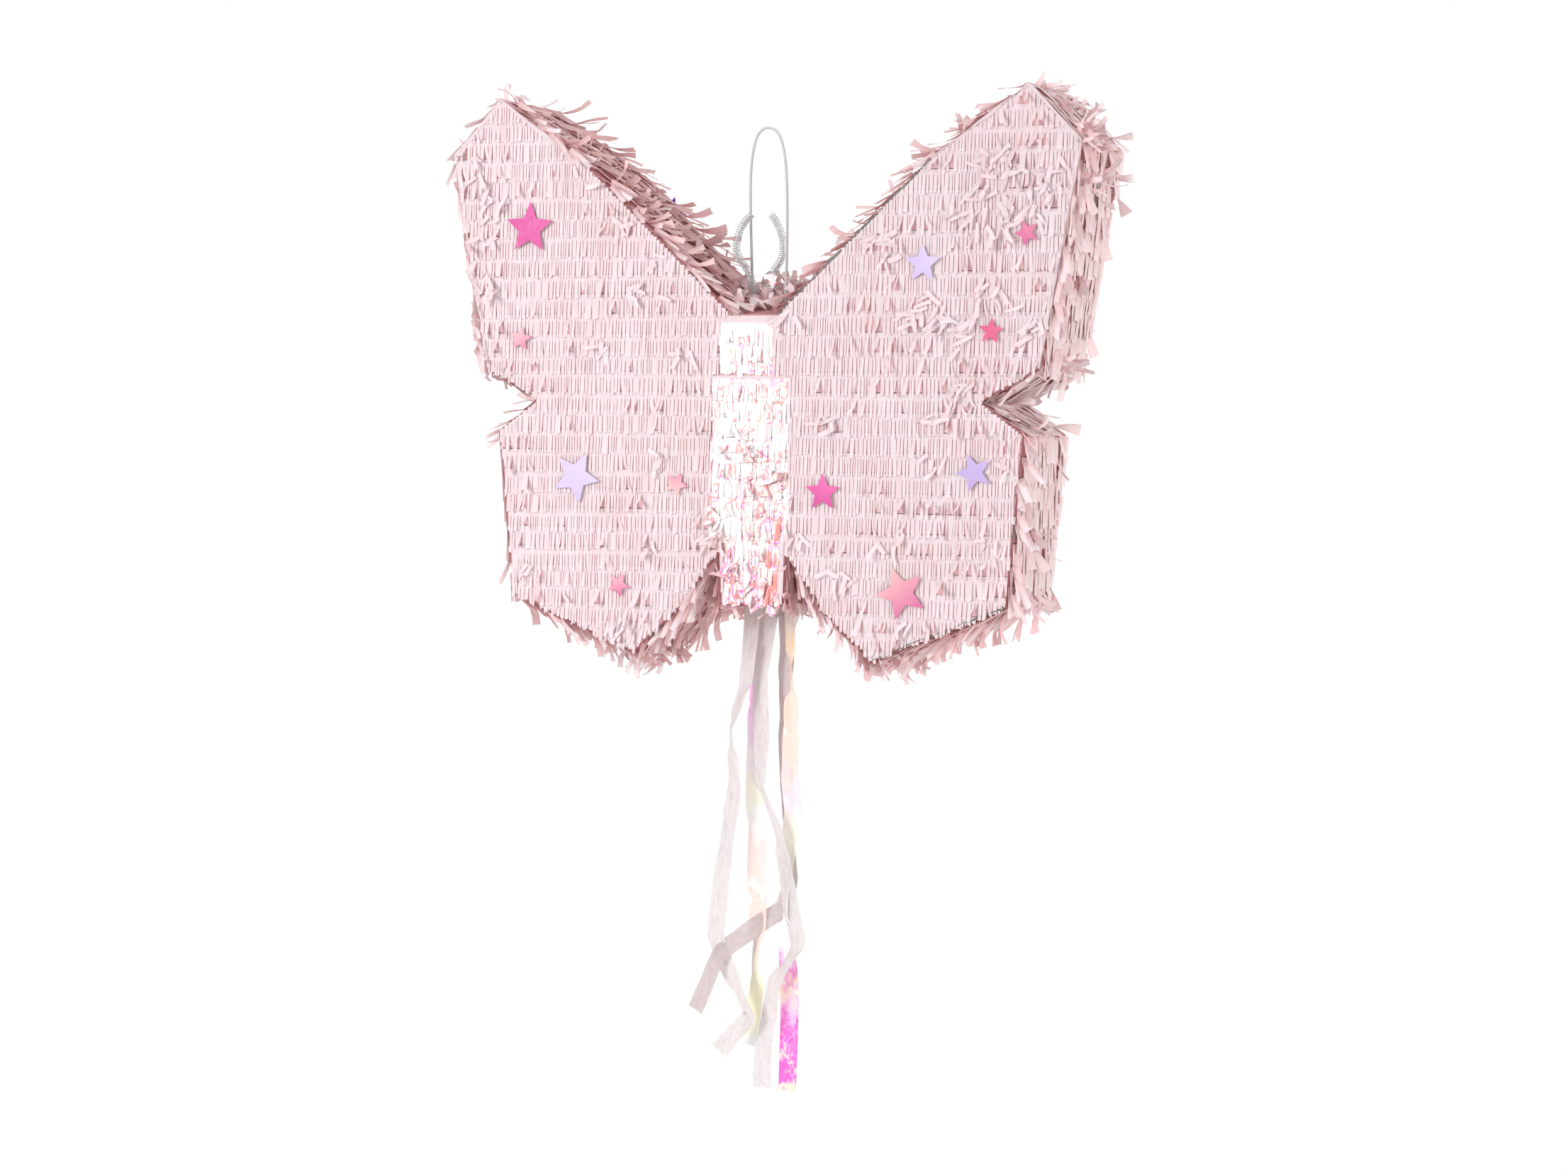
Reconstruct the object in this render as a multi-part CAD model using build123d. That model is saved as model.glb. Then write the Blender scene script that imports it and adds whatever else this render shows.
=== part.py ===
from build123d import *
import math
import os

# A hanging butterfly pinata: a card box in the outline of a butterfly, skinned with rows of cut tissue.
# Body coordinates: X to the viewer's right, Y from the front to the back with 0 at the middle of the
# depth, Z up with 0 at the front edge of the notch between the wings. Millimetres.

# Overall sizes
WING_SPAN = 460.0
DEPTH = 90.0

# Thicknesses
CARD = 2.0
TISSUE = 1.0
FILM = 0.6
FOIL = 0.3
GLUE = 0.1

# Outline corners of the right half, as X and Z, from the notch clockwise to the abdomen
NOTCH_HALF_WIDTH = 17.0
WING_BEND = (127.0, 103.0)
WING_TIP = (194.0, 150.0)
SHOULDER_HEIGHT = 113.0
WING_CORNER = (203.0, -36.0)
WAIST = (162.0, -58.0)
LOBE_CORNER = (193.0, -80.0)
LOBE_FOOT = (182.0, -194.0)
LOBE_BASE = (89.0, -232.0)
LOBE_TURN = (54.0, -200.0)
ABDOMEN_HALF_WIDTH = 22.0
ABDOMEN_BOTTOM = -196.0
CROTCH_GAP = 2.5
CROTCH_HEIGHT = -159.0
NOTCH_RISE = 20.0

# Fringe rows
ROW_PITCH = 13.5
ROW_GAP = 0.5

# Film down the middle of the front: middle in X, width, top and bottom of each section
UPPER_FILM = (-5.0, 39.0, -5.0, -39.0)
MIDDLE_FILM = (-2.0, 57.0, -43.0, -155.0)
ABDOMEN_FILM_WIDTH = 42.0

# Stars on the front: X, Z, radius and clockwise turn in degrees
LARGE_STAR = 18.5
MEDIUM_STAR = 13.0
SMALL_STAR = 9.0
STAR_WAIST = 0.46
HOT_PINK_STARS = [
    (-170.0, 61.0, LARGE_STAR, 2.0),
    (52.5, -120.0, MEDIUM_STAR, 0.0),
]
PINK_STARS = [
    (-176.5, -16.0, SMALL_STAR, 8.0),
    (-56.0, -116.0, SMALL_STAR, 27.0),
    (-99.5, -186.5, SMALL_STAR, 27.0),
    (195.0, 53.0, SMALL_STAR, 50.0),
    (171.0, -11.5, SMALL_STAR, 5.0),
    (110.0, -186.5, LARGE_STAR, 49.0),
]
LILAC_STARS = [
    (-133.0, -112.0, LARGE_STAR, 27.0),
    (122.5, 33.5, MEDIUM_STAR, 0.0),
    (160.5, -105.0, MEDIUM_STAR, 51.0),
]
VIOLET_STAR = (-107.0, 76.0, MEDIUM_STAR, 20.0)

# Filling flap in the back panel, creased along its top edge
FLAP_WIDTH = 90.0
FLAP_HEIGHT = 70.0
FLAP_TOP = -50.0
FLAP_CLEARANCE = 0.4

# Hanging loop: its two ends at the knots under the notch floor, and the points between them
CORD_DIAMETER = 2.0
CORD_HOLE_CLEARANCE = 0.3
KNOT_DIAMETER = 6.0
KNOT_LENGTH = 4.0
KNOT_CLEARANCE = 0.3
LOOP_TOP = (-6.0, -10.0, 130.0)
LOOP_LEFT_END = (-19.0, -3.0)
LOOP_RIGHT_END = (12.0, -20.0)
LOOP_POINTS = [
    (-20.5, -4.0, 50.0),
    (-21.0, -6.0, 95.0),
    (-18.0, -7.5, 118.0),
    (-12.0, -9.0, 130.0),
    (0.0, -11.0, 130.0),
    (7.0, -13.0, 118.0),
    (10.5, -15.0, 95.0),
    (12.5, -18.0, 50.0),
]

# Antennae: one tinsel stem folded to a V at its middle, as X and Z in one plane over its seat
ANTENNA_DEPTH = -12.0
ANTENNA_WIRE = 1.0
TINSEL_DIAMETER = 5.5
TINSEL_CLEARANCE = 0.05
ANTENNA_FOLD_RADIUS = 3.1
ANTENNA_CLEARANCE = 0.3
ANTENNA_ROUTE = [
    (-17.0, 65.5),
    (-23.5, 59.5),
    (-28.0, 49.0),
    (-28.5, 39.0),
    (-19.0, 27.0),
    (-9.5, 0.0),
    (-1.5, 25.0),
    (7.0, 36.0),
    (7.0, 48.0),
    (3.0, 58.0),
    (-2.0, 65.5),
]

# Streamers: depth, width and route as X and drop below the abdomen
TAIL_GAP = 0.8
STREAMER_THICKNESS = 0.3
STREAMER_STEP = 0.8
TISSUE_STREAMER_WIDTH = 13.0
FILM_STREAMER_WIDTH = 14.0
STREAMERS = {
    "left_tissue_streamer": (-2, TISSUE_STREAMER_WIDTH, [
        (-13, 0), (-18, 30), (-20, 52), (-31, 92), (-30, 136), (-36, 169), (-40, 206),
        (-41, 238), (-31, 262), (-24, 288), (-38, 320),
    ]),
    "long_tissue_streamer": (-1, TISSUE_STREAMER_WIDTH, [
        (-3, 0), (-12, 52), (-6, 79), (-6, 94), (-12, 133), (-5, 145), (1, 159),
        (7, 184), (13, 213), (17, 241), (4, 264), (-4, 295), (-9, 344),
    ]),
    "right_film_streamer": (0, FILM_STREAMER_WIDTH, [
        (12, 0), (9, 34), (8, 58), (9, 98), (8, 125), (13, 154), (8, 185), (5, 234),
        (12, 266), (10, 307), (9, 346),
    ]),
    "left_film_streamer": (1, FILM_STREAMER_WIDTH, [
        (-11, 0), (-19, 59), (-19, 116), (-18, 145), (-16, 160), (-16, 192), (-15, 234),
        (-17, 259), (-16, 276), (-20, 316),
    ]),
    "short_tissue_streamer": (2, TISSUE_STREAMER_WIDTH, [
        (0, 0), (2, 64), (5, 134), (9, 194), (3, 216), (-19, 230), (-40, 251),
        (-46, 271), (-55, 289),
    ]),
}

FRONT = -DEPTH / 2
BACK = DEPTH / 2
WALL_FRONT = FRONT + CARD
WALL_BACK = BACK - CARD
SHOULDER = (WING_SPAN / 2, SHOULDER_HEIGHT)
NOTCH = (NOTCH_HALF_WIDTH, 0.0)
CROTCH = (ABDOMEN_HALF_WIDTH + CROTCH_GAP, CROTCH_HEIGHT)
ABDOMEN = (ABDOMEN_HALF_WIDTH, ABDOMEN_BOTTOM)
SLOPE = math.atan2(WING_BEND[1], WING_BEND[0] - NOTCH_HALF_WIDTH)
FLOOR_TILT = math.atan2(NOTCH_RISE, WALL_BACK - WALL_FRONT)
SKIN = GLUE + TISSUE

# The wall that runs on from each corner of the right half, and the fringe that covers it
HALF_CORNERS = [NOTCH, WING_BEND, WING_TIP, SHOULDER, WING_CORNER, WAIST, LOBE_CORNER,
                LOBE_FOOT, LOBE_BASE, LOBE_TURN, CROTCH, ABDOMEN]
WALLS = ["inner_slope", "outer_slope", "tip", "wing_side", "waist_upper", "waist_lower",
         "lobe_side", "lobe_base", "lobe_inner", "crotch", "abdomen"]
FRINGES = {
    "slope_fringe": ["inner_slope", "outer_slope", "tip"],
    "wing_side_fringe": ["wing_side"],
    "waist_fringe": ["waist_upper", "waist_lower"],
    "lobe_side_fringe": ["lobe_side"],
    "underside_fringe": ["lobe_base", "lobe_inner", "crotch", "abdomen"],
}

parts = {}


def mirrored(points):
    """The same points on the left half, in the same turning sense as the right half's."""
    return [(-x, z) for x, z in reversed(points)]


def butterfly(rise=0.0):
    """The whole outline, clockwise from the right notch corner, with the notch raised by rise."""
    corner = (NOTCH_HALF_WIDTH + rise / math.tan(SLOPE), rise)
    half = [corner] + HALF_CORNERS[1:]
    return half + mirrored(half)


def offset_outline(points, distance):
    """The corners of a clockwise outline moved outward by distance, each on its own mitre."""
    moved = []
    for i, (x, z) in enumerate(points):
        before = Vector(x, z) - Vector(*points[i - 1])
        after = Vector(*points[(i + 1) % len(points)]) - Vector(x, z)
        n1 = Vector(-before.Y, before.X).normalized()
        n2 = Vector(-after.Y, after.X).normalized()
        out = (n1 + n2) * (distance / (1 + n1.dot(n2)))
        moved.append((x + out.X, z + out.Y))
    return moved


def prism(points, start, end):
    """A solid with an outline in X and Z, from depth start to depth end."""
    wire = Polyline(*[(x, start, z) for x, z in points], close=True)
    return extrude(make_face(wire), amount=end - start, dir=(0, 1, 0))


def block(x, y, z):
    """A box from its low and high X, Y and Z."""
    size = [high - low for low, high in (x, y, z)]
    middle = [(high + low) / 2 for low, high in (x, y, z)]
    return Pos(*middle) * Box(*size)


def group(pieces):
    """Separate solids as one node."""
    return Compound([solid for piece in pieces for solid in piece.solids()])


def strips(shape, low, high):
    """A flat skin cut into level rows, counted from high down to low."""
    box = shape.bounding_box()
    rows = []
    top = high
    while top > low:
        bottom = top - ROW_PITCH + ROW_GAP
        row = shape & block((box.min.X - 1, box.max.X + 1), (box.min.Y - 1, box.max.Y + 1), (bottom, top))
        rows.append(row)
        top -= ROW_PITCH
    return [row for row in rows if row]


def quad_rows(a, b, c, d):
    """Rows along a wall's skin: a to b lies on the wall, and d to c is its outer face."""
    length = math.dist(a, b)
    count = max(1, round(length / ROW_PITCH))
    gap = ROW_GAP / length
    rows = []
    for i in range(count):
        start = i / count + (gap / 2 if i else 0)
        end = (i + 1) / count - (gap / 2 if i < count - 1 else 0)
        rows.append([between(a, b, start), between(a, b, end), between(d, c, end), between(d, c, start)])
    return rows


def between(p, q, share):
    """The point that lies that share of the way from p to q."""
    return tuple(u + (v - u) * share for u, v in zip(p, q))


def floor_height(y):
    """Height of the notch floor's top at a depth."""
    return NOTCH_RISE * (y - WALL_FRONT) / (WALL_BACK - WALL_FRONT)


def floor_slab(low, high, reach):
    """A tilted slab between two heights over the notch floor's top, out to reach in X."""
    ends = (WALL_FRONT, WALL_BACK)
    points = [(0, y, floor_height(y) + low) for y in ends]
    points += [(0, y, floor_height(y) + high) for y in reversed(ends)]
    face = make_face(Polyline(*points, close=True))
    return extrude(face, amount=reach, dir=(1, 0, 0), both=True)


def below_floor():
    """Everything under the notch floor's top, near the notch."""
    margin = 5.0
    ends = (FRONT - margin, BACK + margin)
    reach = NOTCH_HALF_WIDTH + 3 * NOTCH_RISE
    points = [(0, y, floor_height(y)) for y in ends] + [(0, y, -reach) for y in reversed(ends)]
    face = make_face(Polyline(*points, close=True))
    return extrude(face, amount=reach, dir=(1, 0, 0), both=True)


def notch_wedge(inset):
    """The space between the two inner slopes, widened by inset square to them."""
    low, high = -4 * CARD, NOTCH_RISE + 4 * CARD
    right = [(NOTCH_HALF_WIDTH + z / math.tan(SLOPE) + inset / math.sin(SLOPE), z) for z in (low, high)]
    return prism(right + mirrored(right), FRONT, BACK)


def star(x, z, radius, turn, start, end):
    """A five-pointed foil star on a face square to Y."""
    points = []
    for i in range(10):
        reach = radius if i % 2 == 0 else radius * STAR_WAIST
        angle = math.radians(90 - turn - 36 * i)
        points.append((x + reach * math.cos(angle), z + reach * math.sin(angle)))
    return prism(points, start, end)


def film_area(section):
    """The corners of a film section, from its middle, width, top and bottom."""
    middle, width, top, bottom = section
    return (middle - width / 2, middle + width / 2), (bottom, top)


def arc_radii(points):
    """The radius at each corner of a route, as large as its two runs allow."""
    vectors = [Vector(*p) for p in points]
    radii = []
    for a, b, c in zip(vectors, vectors[1:], vectors[2:]):
        turn = math.radians((b - a).get_angle(c - b))
        radii.append(0.45 * min((b - a).length, (c - b).length) / math.tan(turn / 2))
    return radii


def tube(path, outer, inner=0.0):
    """A round tube along a path."""
    start = Plane(origin=path @ 0, z_dir=path % 0)
    section = start * Circle(outer / 2)
    if inner:
        section -= start * Circle(inner / 2)
    return sweep(section, path=path)


def loop_route():
    """The loop's route, whose ends lie just under the tilted notch floor, on top of their knots."""
    drop = (CARD + KNOT_CLEARANCE) / math.cos(FLOOR_TILT) + KNOT_DIAMETER / 2 * math.tan(FLOOR_TILT)
    left, right = [(x, y, floor_height(y) - drop) for x, y in (LOOP_LEFT_END, LOOP_RIGHT_END)]
    return [left] + LOOP_POINTS + [right]


def make_card():
    """The two panels, the walls between them, the notch floor and the filling flap."""
    outline = butterfly()
    inner = offset_outline(outline, -CARD)
    parts["front_panel"] = prism(outline, FRONT, WALL_FRONT)
    doorway = block((-FLAP_WIDTH / 2 - FLAP_CLEARANCE, FLAP_WIDTH / 2 + FLAP_CLEARANCE),
                    (WALL_BACK - 1, BACK + SKIN + 1),
                    (FLAP_TOP - FLAP_HEIGHT - FLAP_CLEARANCE, FLAP_TOP + FLAP_CLEARANCE))
    parts["back_panel"] = prism(butterfly(NOTCH_RISE), WALL_BACK, BACK) - doorway
    flap_x = (-FLAP_WIDTH / 2, FLAP_WIDTH / 2)
    flap_z = (FLAP_TOP - FLAP_HEIGHT, FLAP_TOP)
    parts["filling_flap"] = block(flap_x, (WALL_BACK, BACK), flap_z)
    flap_skin = block(flap_x, (BACK + GLUE, BACK + SKIN), flap_z)
    parts["flap_fringe"] = group(strips(flap_skin, *flap_z))
    back_skin = prism(butterfly(NOTCH_RISE), BACK + GLUE, BACK + SKIN) - doorway
    parts["back_fringe"] = group(strips(back_skin, LOBE_BASE[1], WING_TIP[1]))
    for i, name in enumerate(WALLS):
        quad = [outline[i], outline[i + 1], inner[i + 1], inner[i]]
        for side, points in (("right", quad), ("left", mirrored(quad))):
            wall = prism(points, WALL_FRONT, WALL_BACK)
            if name == "inner_slope":
                wall -= below_floor()
            parts[f"{side}_{name}_wall"] = wall
    last = len(WALLS)
    parts["abdomen_floor"] = prism(
        [outline[last], outline[last + 1], inner[last + 1], inner[last]], WALL_FRONT, WALL_BACK
    )
    floor = floor_slab(-CARD, 0, WING_SPAN / 4) & notch_wedge(CARD)
    parts["notch_floor"] = floor - floor_holes()


def floor_holes():
    """The holes through the notch floor and its skin, along the two ends of the loop."""
    route = loop_route()
    holes = []
    for end, after in ((route[0], route[1]), (route[-1], route[-2])):
        plane = Plane(origin=end, z_dir=Vector(*after) - Vector(*end))
        drill = Circle(CORD_DIAMETER / 2 + CORD_HOLE_CLEARANCE)
        holes.append(extrude(plane * drill, amount=6 * CARD, both=True))
    return holes


def make_wall_fringes():
    """Rows of tissue on the outside of the walls, over the edges of both panels."""
    base = offset_outline(butterfly(), GLUE)
    outer = offset_outline(butterfly(), SKIN)
    for fringe, walls in FRINGES.items():
        for side in ("right", "left"):
            rows = []
            for name in walls:
                i = WALLS.index(name)
                for quad in quad_rows(base[i], base[i + 1], outer[i + 1], outer[i]):
                    points = quad if side == "right" else mirrored(quad)
                    row = prism(points, FRONT, BACK)
                    if name == "inner_slope":
                        row -= below_floor()
                    rows.append(row)
            parts[f"{side}_{fringe}"] = group(rows)
    skin = (floor_slab(GLUE, SKIN, WING_SPAN / 4) & notch_wedge(-SKIN - GLUE)) - floor_holes()
    parts["notch_fringe"] = skin


def make_front_skin():
    """Rows of tissue on the front, and the film sections down its middle."""
    abdomen_film = (0.0, ABDOMEN_FILM_WIDTH, MIDDLE_FILM[3], ABDOMEN_BOTTOM)
    films = {"upper_film": UPPER_FILM, "middle_film": MIDDLE_FILM, "abdomen_film": abdomen_film}
    skin = prism(butterfly(), FRONT - SKIN, FRONT - GLUE)
    for name, section in films.items():
        x, z = film_area(section)
        parts[name] = group(strips(block(x, (FRONT - GLUE - FILM, FRONT - GLUE), z), *z))
        skin -= block(x, (FRONT - SKIN - 1, FRONT), z)
    for side, reach in (("left", (-WING_SPAN, 0)), ("right", (0, WING_SPAN))):
        half = skin & block(reach, (FRONT - SKIN - 1, FRONT), (LOBE_BASE[1], WING_TIP[1]))
        parts[f"{side}_front_fringe"] = group(strips(half, LOBE_BASE[1], WING_TIP[1]))


def make_stars():
    """Foil stars on the front, by colour, and one on the back of the left wing's upper edge."""
    groups = {"hot_pink_stars": HOT_PINK_STARS, "pink_stars": PINK_STARS, "lilac_stars": LILAC_STARS}
    for name, stars in groups.items():
        start = FRONT - SKIN - FOIL
        parts[name] = group([star(*spec, start, start + FOIL) for spec in stars])
    parts["violet_star"] = star(*VIOLET_STAR, BACK + SKIN, BACK + SKIN + FOIL)


def make_loop():
    """The hanging loop, tied off with a knot under each hole."""
    route = loop_route()
    radii = arc_radii(route)
    path = FilletPolyline(*route, radius=radii)
    print("loop radii", [round(r, 1) for r in radii], "length", round(path.length, 1))
    parts["hanging_loop"] = tube(path, CORD_DIAMETER)
    knots = []
    for end, after in ((route[0], route[1]), (route[-1], route[-2])):
        plane = Plane(origin=end, z_dir=Vector(*end) - Vector(*after))
        knots.append(extrude(plane * Circle(KNOT_DIAMETER / 2), amount=KNOT_LENGTH))
    parts["loop_knots"] = group(knots)


def make_antennae():
    """The stem's wire with the tinsel round it, seated by its fold on the skin of the notch floor."""
    route = [(x, ANTENNA_DEPTH, z) for x, z in ANTENNA_ROUTE]
    radii = arc_radii(route)
    radii[radii.index(min(radii))] = ANTENNA_FOLD_RADIUS
    path = FilletPolyline(*route, radius=radii)
    lift = (SKIN + ANTENNA_CLEARANCE + TINSEL_DIAMETER / 2) / math.cos(FLOOR_TILT)
    seat = Pos(0, 0, floor_height(ANTENNA_DEPTH) + lift - path.bounding_box().min.Z)
    parts["antenna_wire"] = seat * tube(path, ANTENNA_WIRE)
    parts["antenna_tinsel"] = seat * tube(path, TINSEL_DIAMETER, ANTENNA_WIRE + 2 * TINSEL_CLEARANCE)


def make_streamers():
    """Flat streamers that hang side by side and one behind another from the abdomen's floor."""
    top = ABDOMEN_BOTTOM - TAIL_GAP
    for name, (layer, width, route) in STREAMERS.items():
        middle = [(x, top - drop) for x, drop in route]
        left = [(x - width / 2, z) for x, z in middle]
        right = [(x + width / 2, z) for x, z in middle]
        y = layer * STREAMER_STEP
        parts[name] = prism(left + right[::-1], y - STREAMER_THICKNESS / 2, y + STREAMER_THICKNESS / 2)


def write_parts():
    """One file for each node, with the origin moved to the top of the loop."""
    os.makedirs("parts", exist_ok=True)
    to_row = Pos(*[-value for value in LOOP_TOP])
    for name, shape in parts.items():
        export_step(group([to_row * solid for solid in shape.solids()]), f"parts/{name}.step")


make_card()
make_wall_fringes()
make_front_skin()
make_stars()
make_loop()
make_antennae()
make_streamers()
write_parts()
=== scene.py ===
"""The looks of a hanging butterfly pinata: cut tissue, film, foil stars, cord loop, antennae, streamers."""

import math

import bpy
import numpy as np
from bpy.props import FloatProperty, FloatVectorProperty, IntProperty, PointerProperty
from mathutils import Matrix, Vector


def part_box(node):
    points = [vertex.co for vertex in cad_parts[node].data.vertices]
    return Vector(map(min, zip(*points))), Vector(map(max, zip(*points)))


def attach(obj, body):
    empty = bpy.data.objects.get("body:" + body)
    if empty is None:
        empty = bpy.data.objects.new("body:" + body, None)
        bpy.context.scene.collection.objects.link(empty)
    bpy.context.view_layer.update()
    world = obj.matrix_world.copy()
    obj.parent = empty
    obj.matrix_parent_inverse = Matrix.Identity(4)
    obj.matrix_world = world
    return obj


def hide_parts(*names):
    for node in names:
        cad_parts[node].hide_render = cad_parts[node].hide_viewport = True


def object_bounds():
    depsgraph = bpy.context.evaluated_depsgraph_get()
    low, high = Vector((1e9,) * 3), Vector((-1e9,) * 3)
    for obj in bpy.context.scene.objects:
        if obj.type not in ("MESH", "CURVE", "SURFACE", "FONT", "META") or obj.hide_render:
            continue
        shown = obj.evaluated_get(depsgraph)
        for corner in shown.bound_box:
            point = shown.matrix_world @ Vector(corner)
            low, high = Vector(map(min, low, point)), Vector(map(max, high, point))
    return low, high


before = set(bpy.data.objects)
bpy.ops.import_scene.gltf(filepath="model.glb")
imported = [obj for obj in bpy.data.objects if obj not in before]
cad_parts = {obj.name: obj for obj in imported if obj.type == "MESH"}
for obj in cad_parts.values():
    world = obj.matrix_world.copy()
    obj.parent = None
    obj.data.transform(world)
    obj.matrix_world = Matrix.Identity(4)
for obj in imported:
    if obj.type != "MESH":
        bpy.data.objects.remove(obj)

bl_info = {
    "name": "Butterfly Pinata",
    "version": (1, 0, 0),
    "blender": (4, 5, 0),
    "location": "View3D > Sidebar > Pinata",
    "description": "Dresses a card butterfly with cut tissue, film, foil stars and streamers",
    "category": "Add Mesh",
}

MM = 0.001
CAD_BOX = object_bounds()
LOOP_TOP = Vector((-6.0, -10.0, 130.0))
WALL_SKIN = 1.1 * MM
STRIP_REACH = 11.0 * MM
FLAP_MARGIN = 1.5 * MM
DOOR_GAP = 0.6 * MM
CREASE_LIP = 0.9 * MM
SPARE_STRIP_BAND = 1.0 * MM
FRONT_WAY, BACK_WAY = (0, -1, 0), (0, 1, 0)
FILM_NODES = ("upper_film", "middle_film", "abdomen_film")


def place(x, y, z):
    """A point given in millimetres from the front edge of the notch, in the shared frame."""
    return (Vector((x, y, z)) - LOOP_TOP) * MM


# Sizes and colours that a user would change


def length(name, about, value, low=0.0, high=1.0):
    return FloatProperty(name=name, description=about, default=value, min=low, max=high,
                         precision=5, unit="LENGTH")


def colour(name, about, value):
    return FloatVectorProperty(name=name, description=about, default=value, size=3, min=0.0,
                               max=1.0, subtype="COLOR")


def share(name, about, value):
    return FloatProperty(name=name, description=about, default=value, min=0.0, max=1.0,
                         subtype="FACTOR")


class PinataTissue(bpy.types.PropertyGroup):
    pitch: length("Row pitch", "Distance from one row of tissue to the next", 0.0135, 0.004, 0.05)
    band: length("Uncut band", "Uncut tissue that shows at the top of a row", 0.0014, 0.0, 0.02)
    overlap: length("Overlap", "How far a row hangs over the next one", 0.0023, 0.0, 0.01)
    tongue: length("Tongue width", "Usual width of a tongue", 0.0025, 0.001, 0.02)
    slit: length("Slit", "Gap between two tongues", 0.00042, 0.0, 0.002)
    disorder: share("Disorder", "Share of the tongues on a face that stand up or lie askew", 0.05)
    seed: IntProperty(name="Seed", description="Seed of the cut and the creases", default=11)
    # Painted light and shade: the faces, slopes and outer sides share one tissue, given paler on the faces,
    # deepest on the slopes and undersides and less deep on the outer sides as painted shade. The three slit
    # colours paint the shade inside the slits.
    front: colour("Front tissue", "Tissue on the two faces", (0.88, 0.80, 0.82))
    front_shade: colour("Front slits", "Tissue inside the slits of the faces", (0.82, 0.47, 0.50))
    # Painted shade: this colour under the rows shows only through the slits and stands for the shade in them;
    # it is no stain.
    slit_depth: colour("Under the slits", "Glue-stained tissue under the rows", (0.78, 0.50, 0.53))
    wall: colour("Slope tissue", "Tissue on the slopes and undersides", (0.85, 0.64, 0.64))
    wall_shade: colour("Wall slits", "Tissue inside the slits of the walls", (0.70, 0.32, 0.33))
    side: colour("Side tissue", "Tissue on the outer sides", (0.86, 0.75, 0.75))
    side_shade: colour("Side slits", "Tissue inside the slits of the sides", (0.76, 0.42, 0.43))


class PinataFilm(bpy.types.PropertyGroup):
    tongue: length("Film tongue width", "Usual width of a film tongue", 0.0036, 0.001, 0.02)
    # Painted highlight: the film's shine, given as a near-white colour.
    pale: colour("Film", "Film where it shines", (0.93, 0.91, 0.93))
    coral: colour("Coral streaks", "Film where it creases", (0.82, 0.30, 0.28))
    magenta: colour("Magenta streaks", "Film where it folds", (0.86, 0.16, 0.60))
    peach: colour("Peach streaks", "Film between creases", (0.95, 0.72, 0.58))


class PinataStars(bpy.types.PropertyGroup):
    thickness: length("Foil thickness", "Thickness of a star", 0.0003, 0.0001, 0.002)
    rise: length("Rise", "Height of a star over the tissue's skin", 0.0024, 0.0, 0.01)
    hot_pink: colour("Hot pink", "Hot pink foil", (0.54, 0.045, 0.25))
    pink: colour("Pink", "Pink foil", (0.60, 0.13, 0.31))
    peach: colour("Peach", "Paler end of the pink foil", (0.82, 0.46, 0.45))
    lilac: colour("Lilac", "Lilac foil", (0.45, 0.33, 0.62))
    violet: colour("Violet", "Violet foil", (0.12, 0.02, 0.42))


class PinataLoop(bpy.types.PropertyGroup):
    diameter: length("Cord diameter", "Diameter of the hanging cord", 0.002, 0.0005, 0.01)
    cord: colour("Cord", "Cord of the hanging loop", (0.70, 0.70, 0.70))
    tinsel: colour("Tinsel", "Bristles of the antennae", (0.84, 0.85, 0.86))
    wire: colour("Wire", "Wire inside the antennae", (0.72, 0.72, 0.71))
    bristle: length("Bristle", "Reach of the bristles from the wire", 0.0027, 0.001, 0.01)


class PinataStreamers(bpy.types.PropertyGroup):
    tissue_width: length("Tissue streamer width", "Width of a tissue streamer", 0.013, 0.01, 0.03)
    film_width: length("Film streamer width", "Width of a film streamer", 0.014, 0.01, 0.03)
    tissue: colour("Streamer tissue", "Tissue of the streamers", (0.70, 0.65, 0.65))


class PinataStage(bpy.types.PropertyGroup):
    floor_drop: length("Floor drop", "Distance from the lowest point down to the floor", 0.36, 0.0, 2.0)
    floor_radius: length("Floor radius", "Radius of the round floor", 1.2, 0.2, 5.0)
    floor: colour("Floor", "Colour of the floor", (0.93, 0.92, 0.92))
    ambient: FloatProperty(name="Ambient", description="Strength of the light from all round",
                           default=0.42, min=0.0, max=3.0)


GROUPS = (PinataTissue, PinataFilm, PinataStars, PinataLoop, PinataStreamers, PinataStage)


def setting_name(group):
    """The name under which a group of settings stands on the scene."""
    return "pinata_" + group.__name__[len("Pinata"):].lower()


def scaled(tint, *factors):
    """A tint with its channels multiplied by one factor, or by one factor each."""
    return tuple(c * k for c, k in zip(tint, factors if len(factors) == 3 else factors * 3))


# Materials


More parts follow.
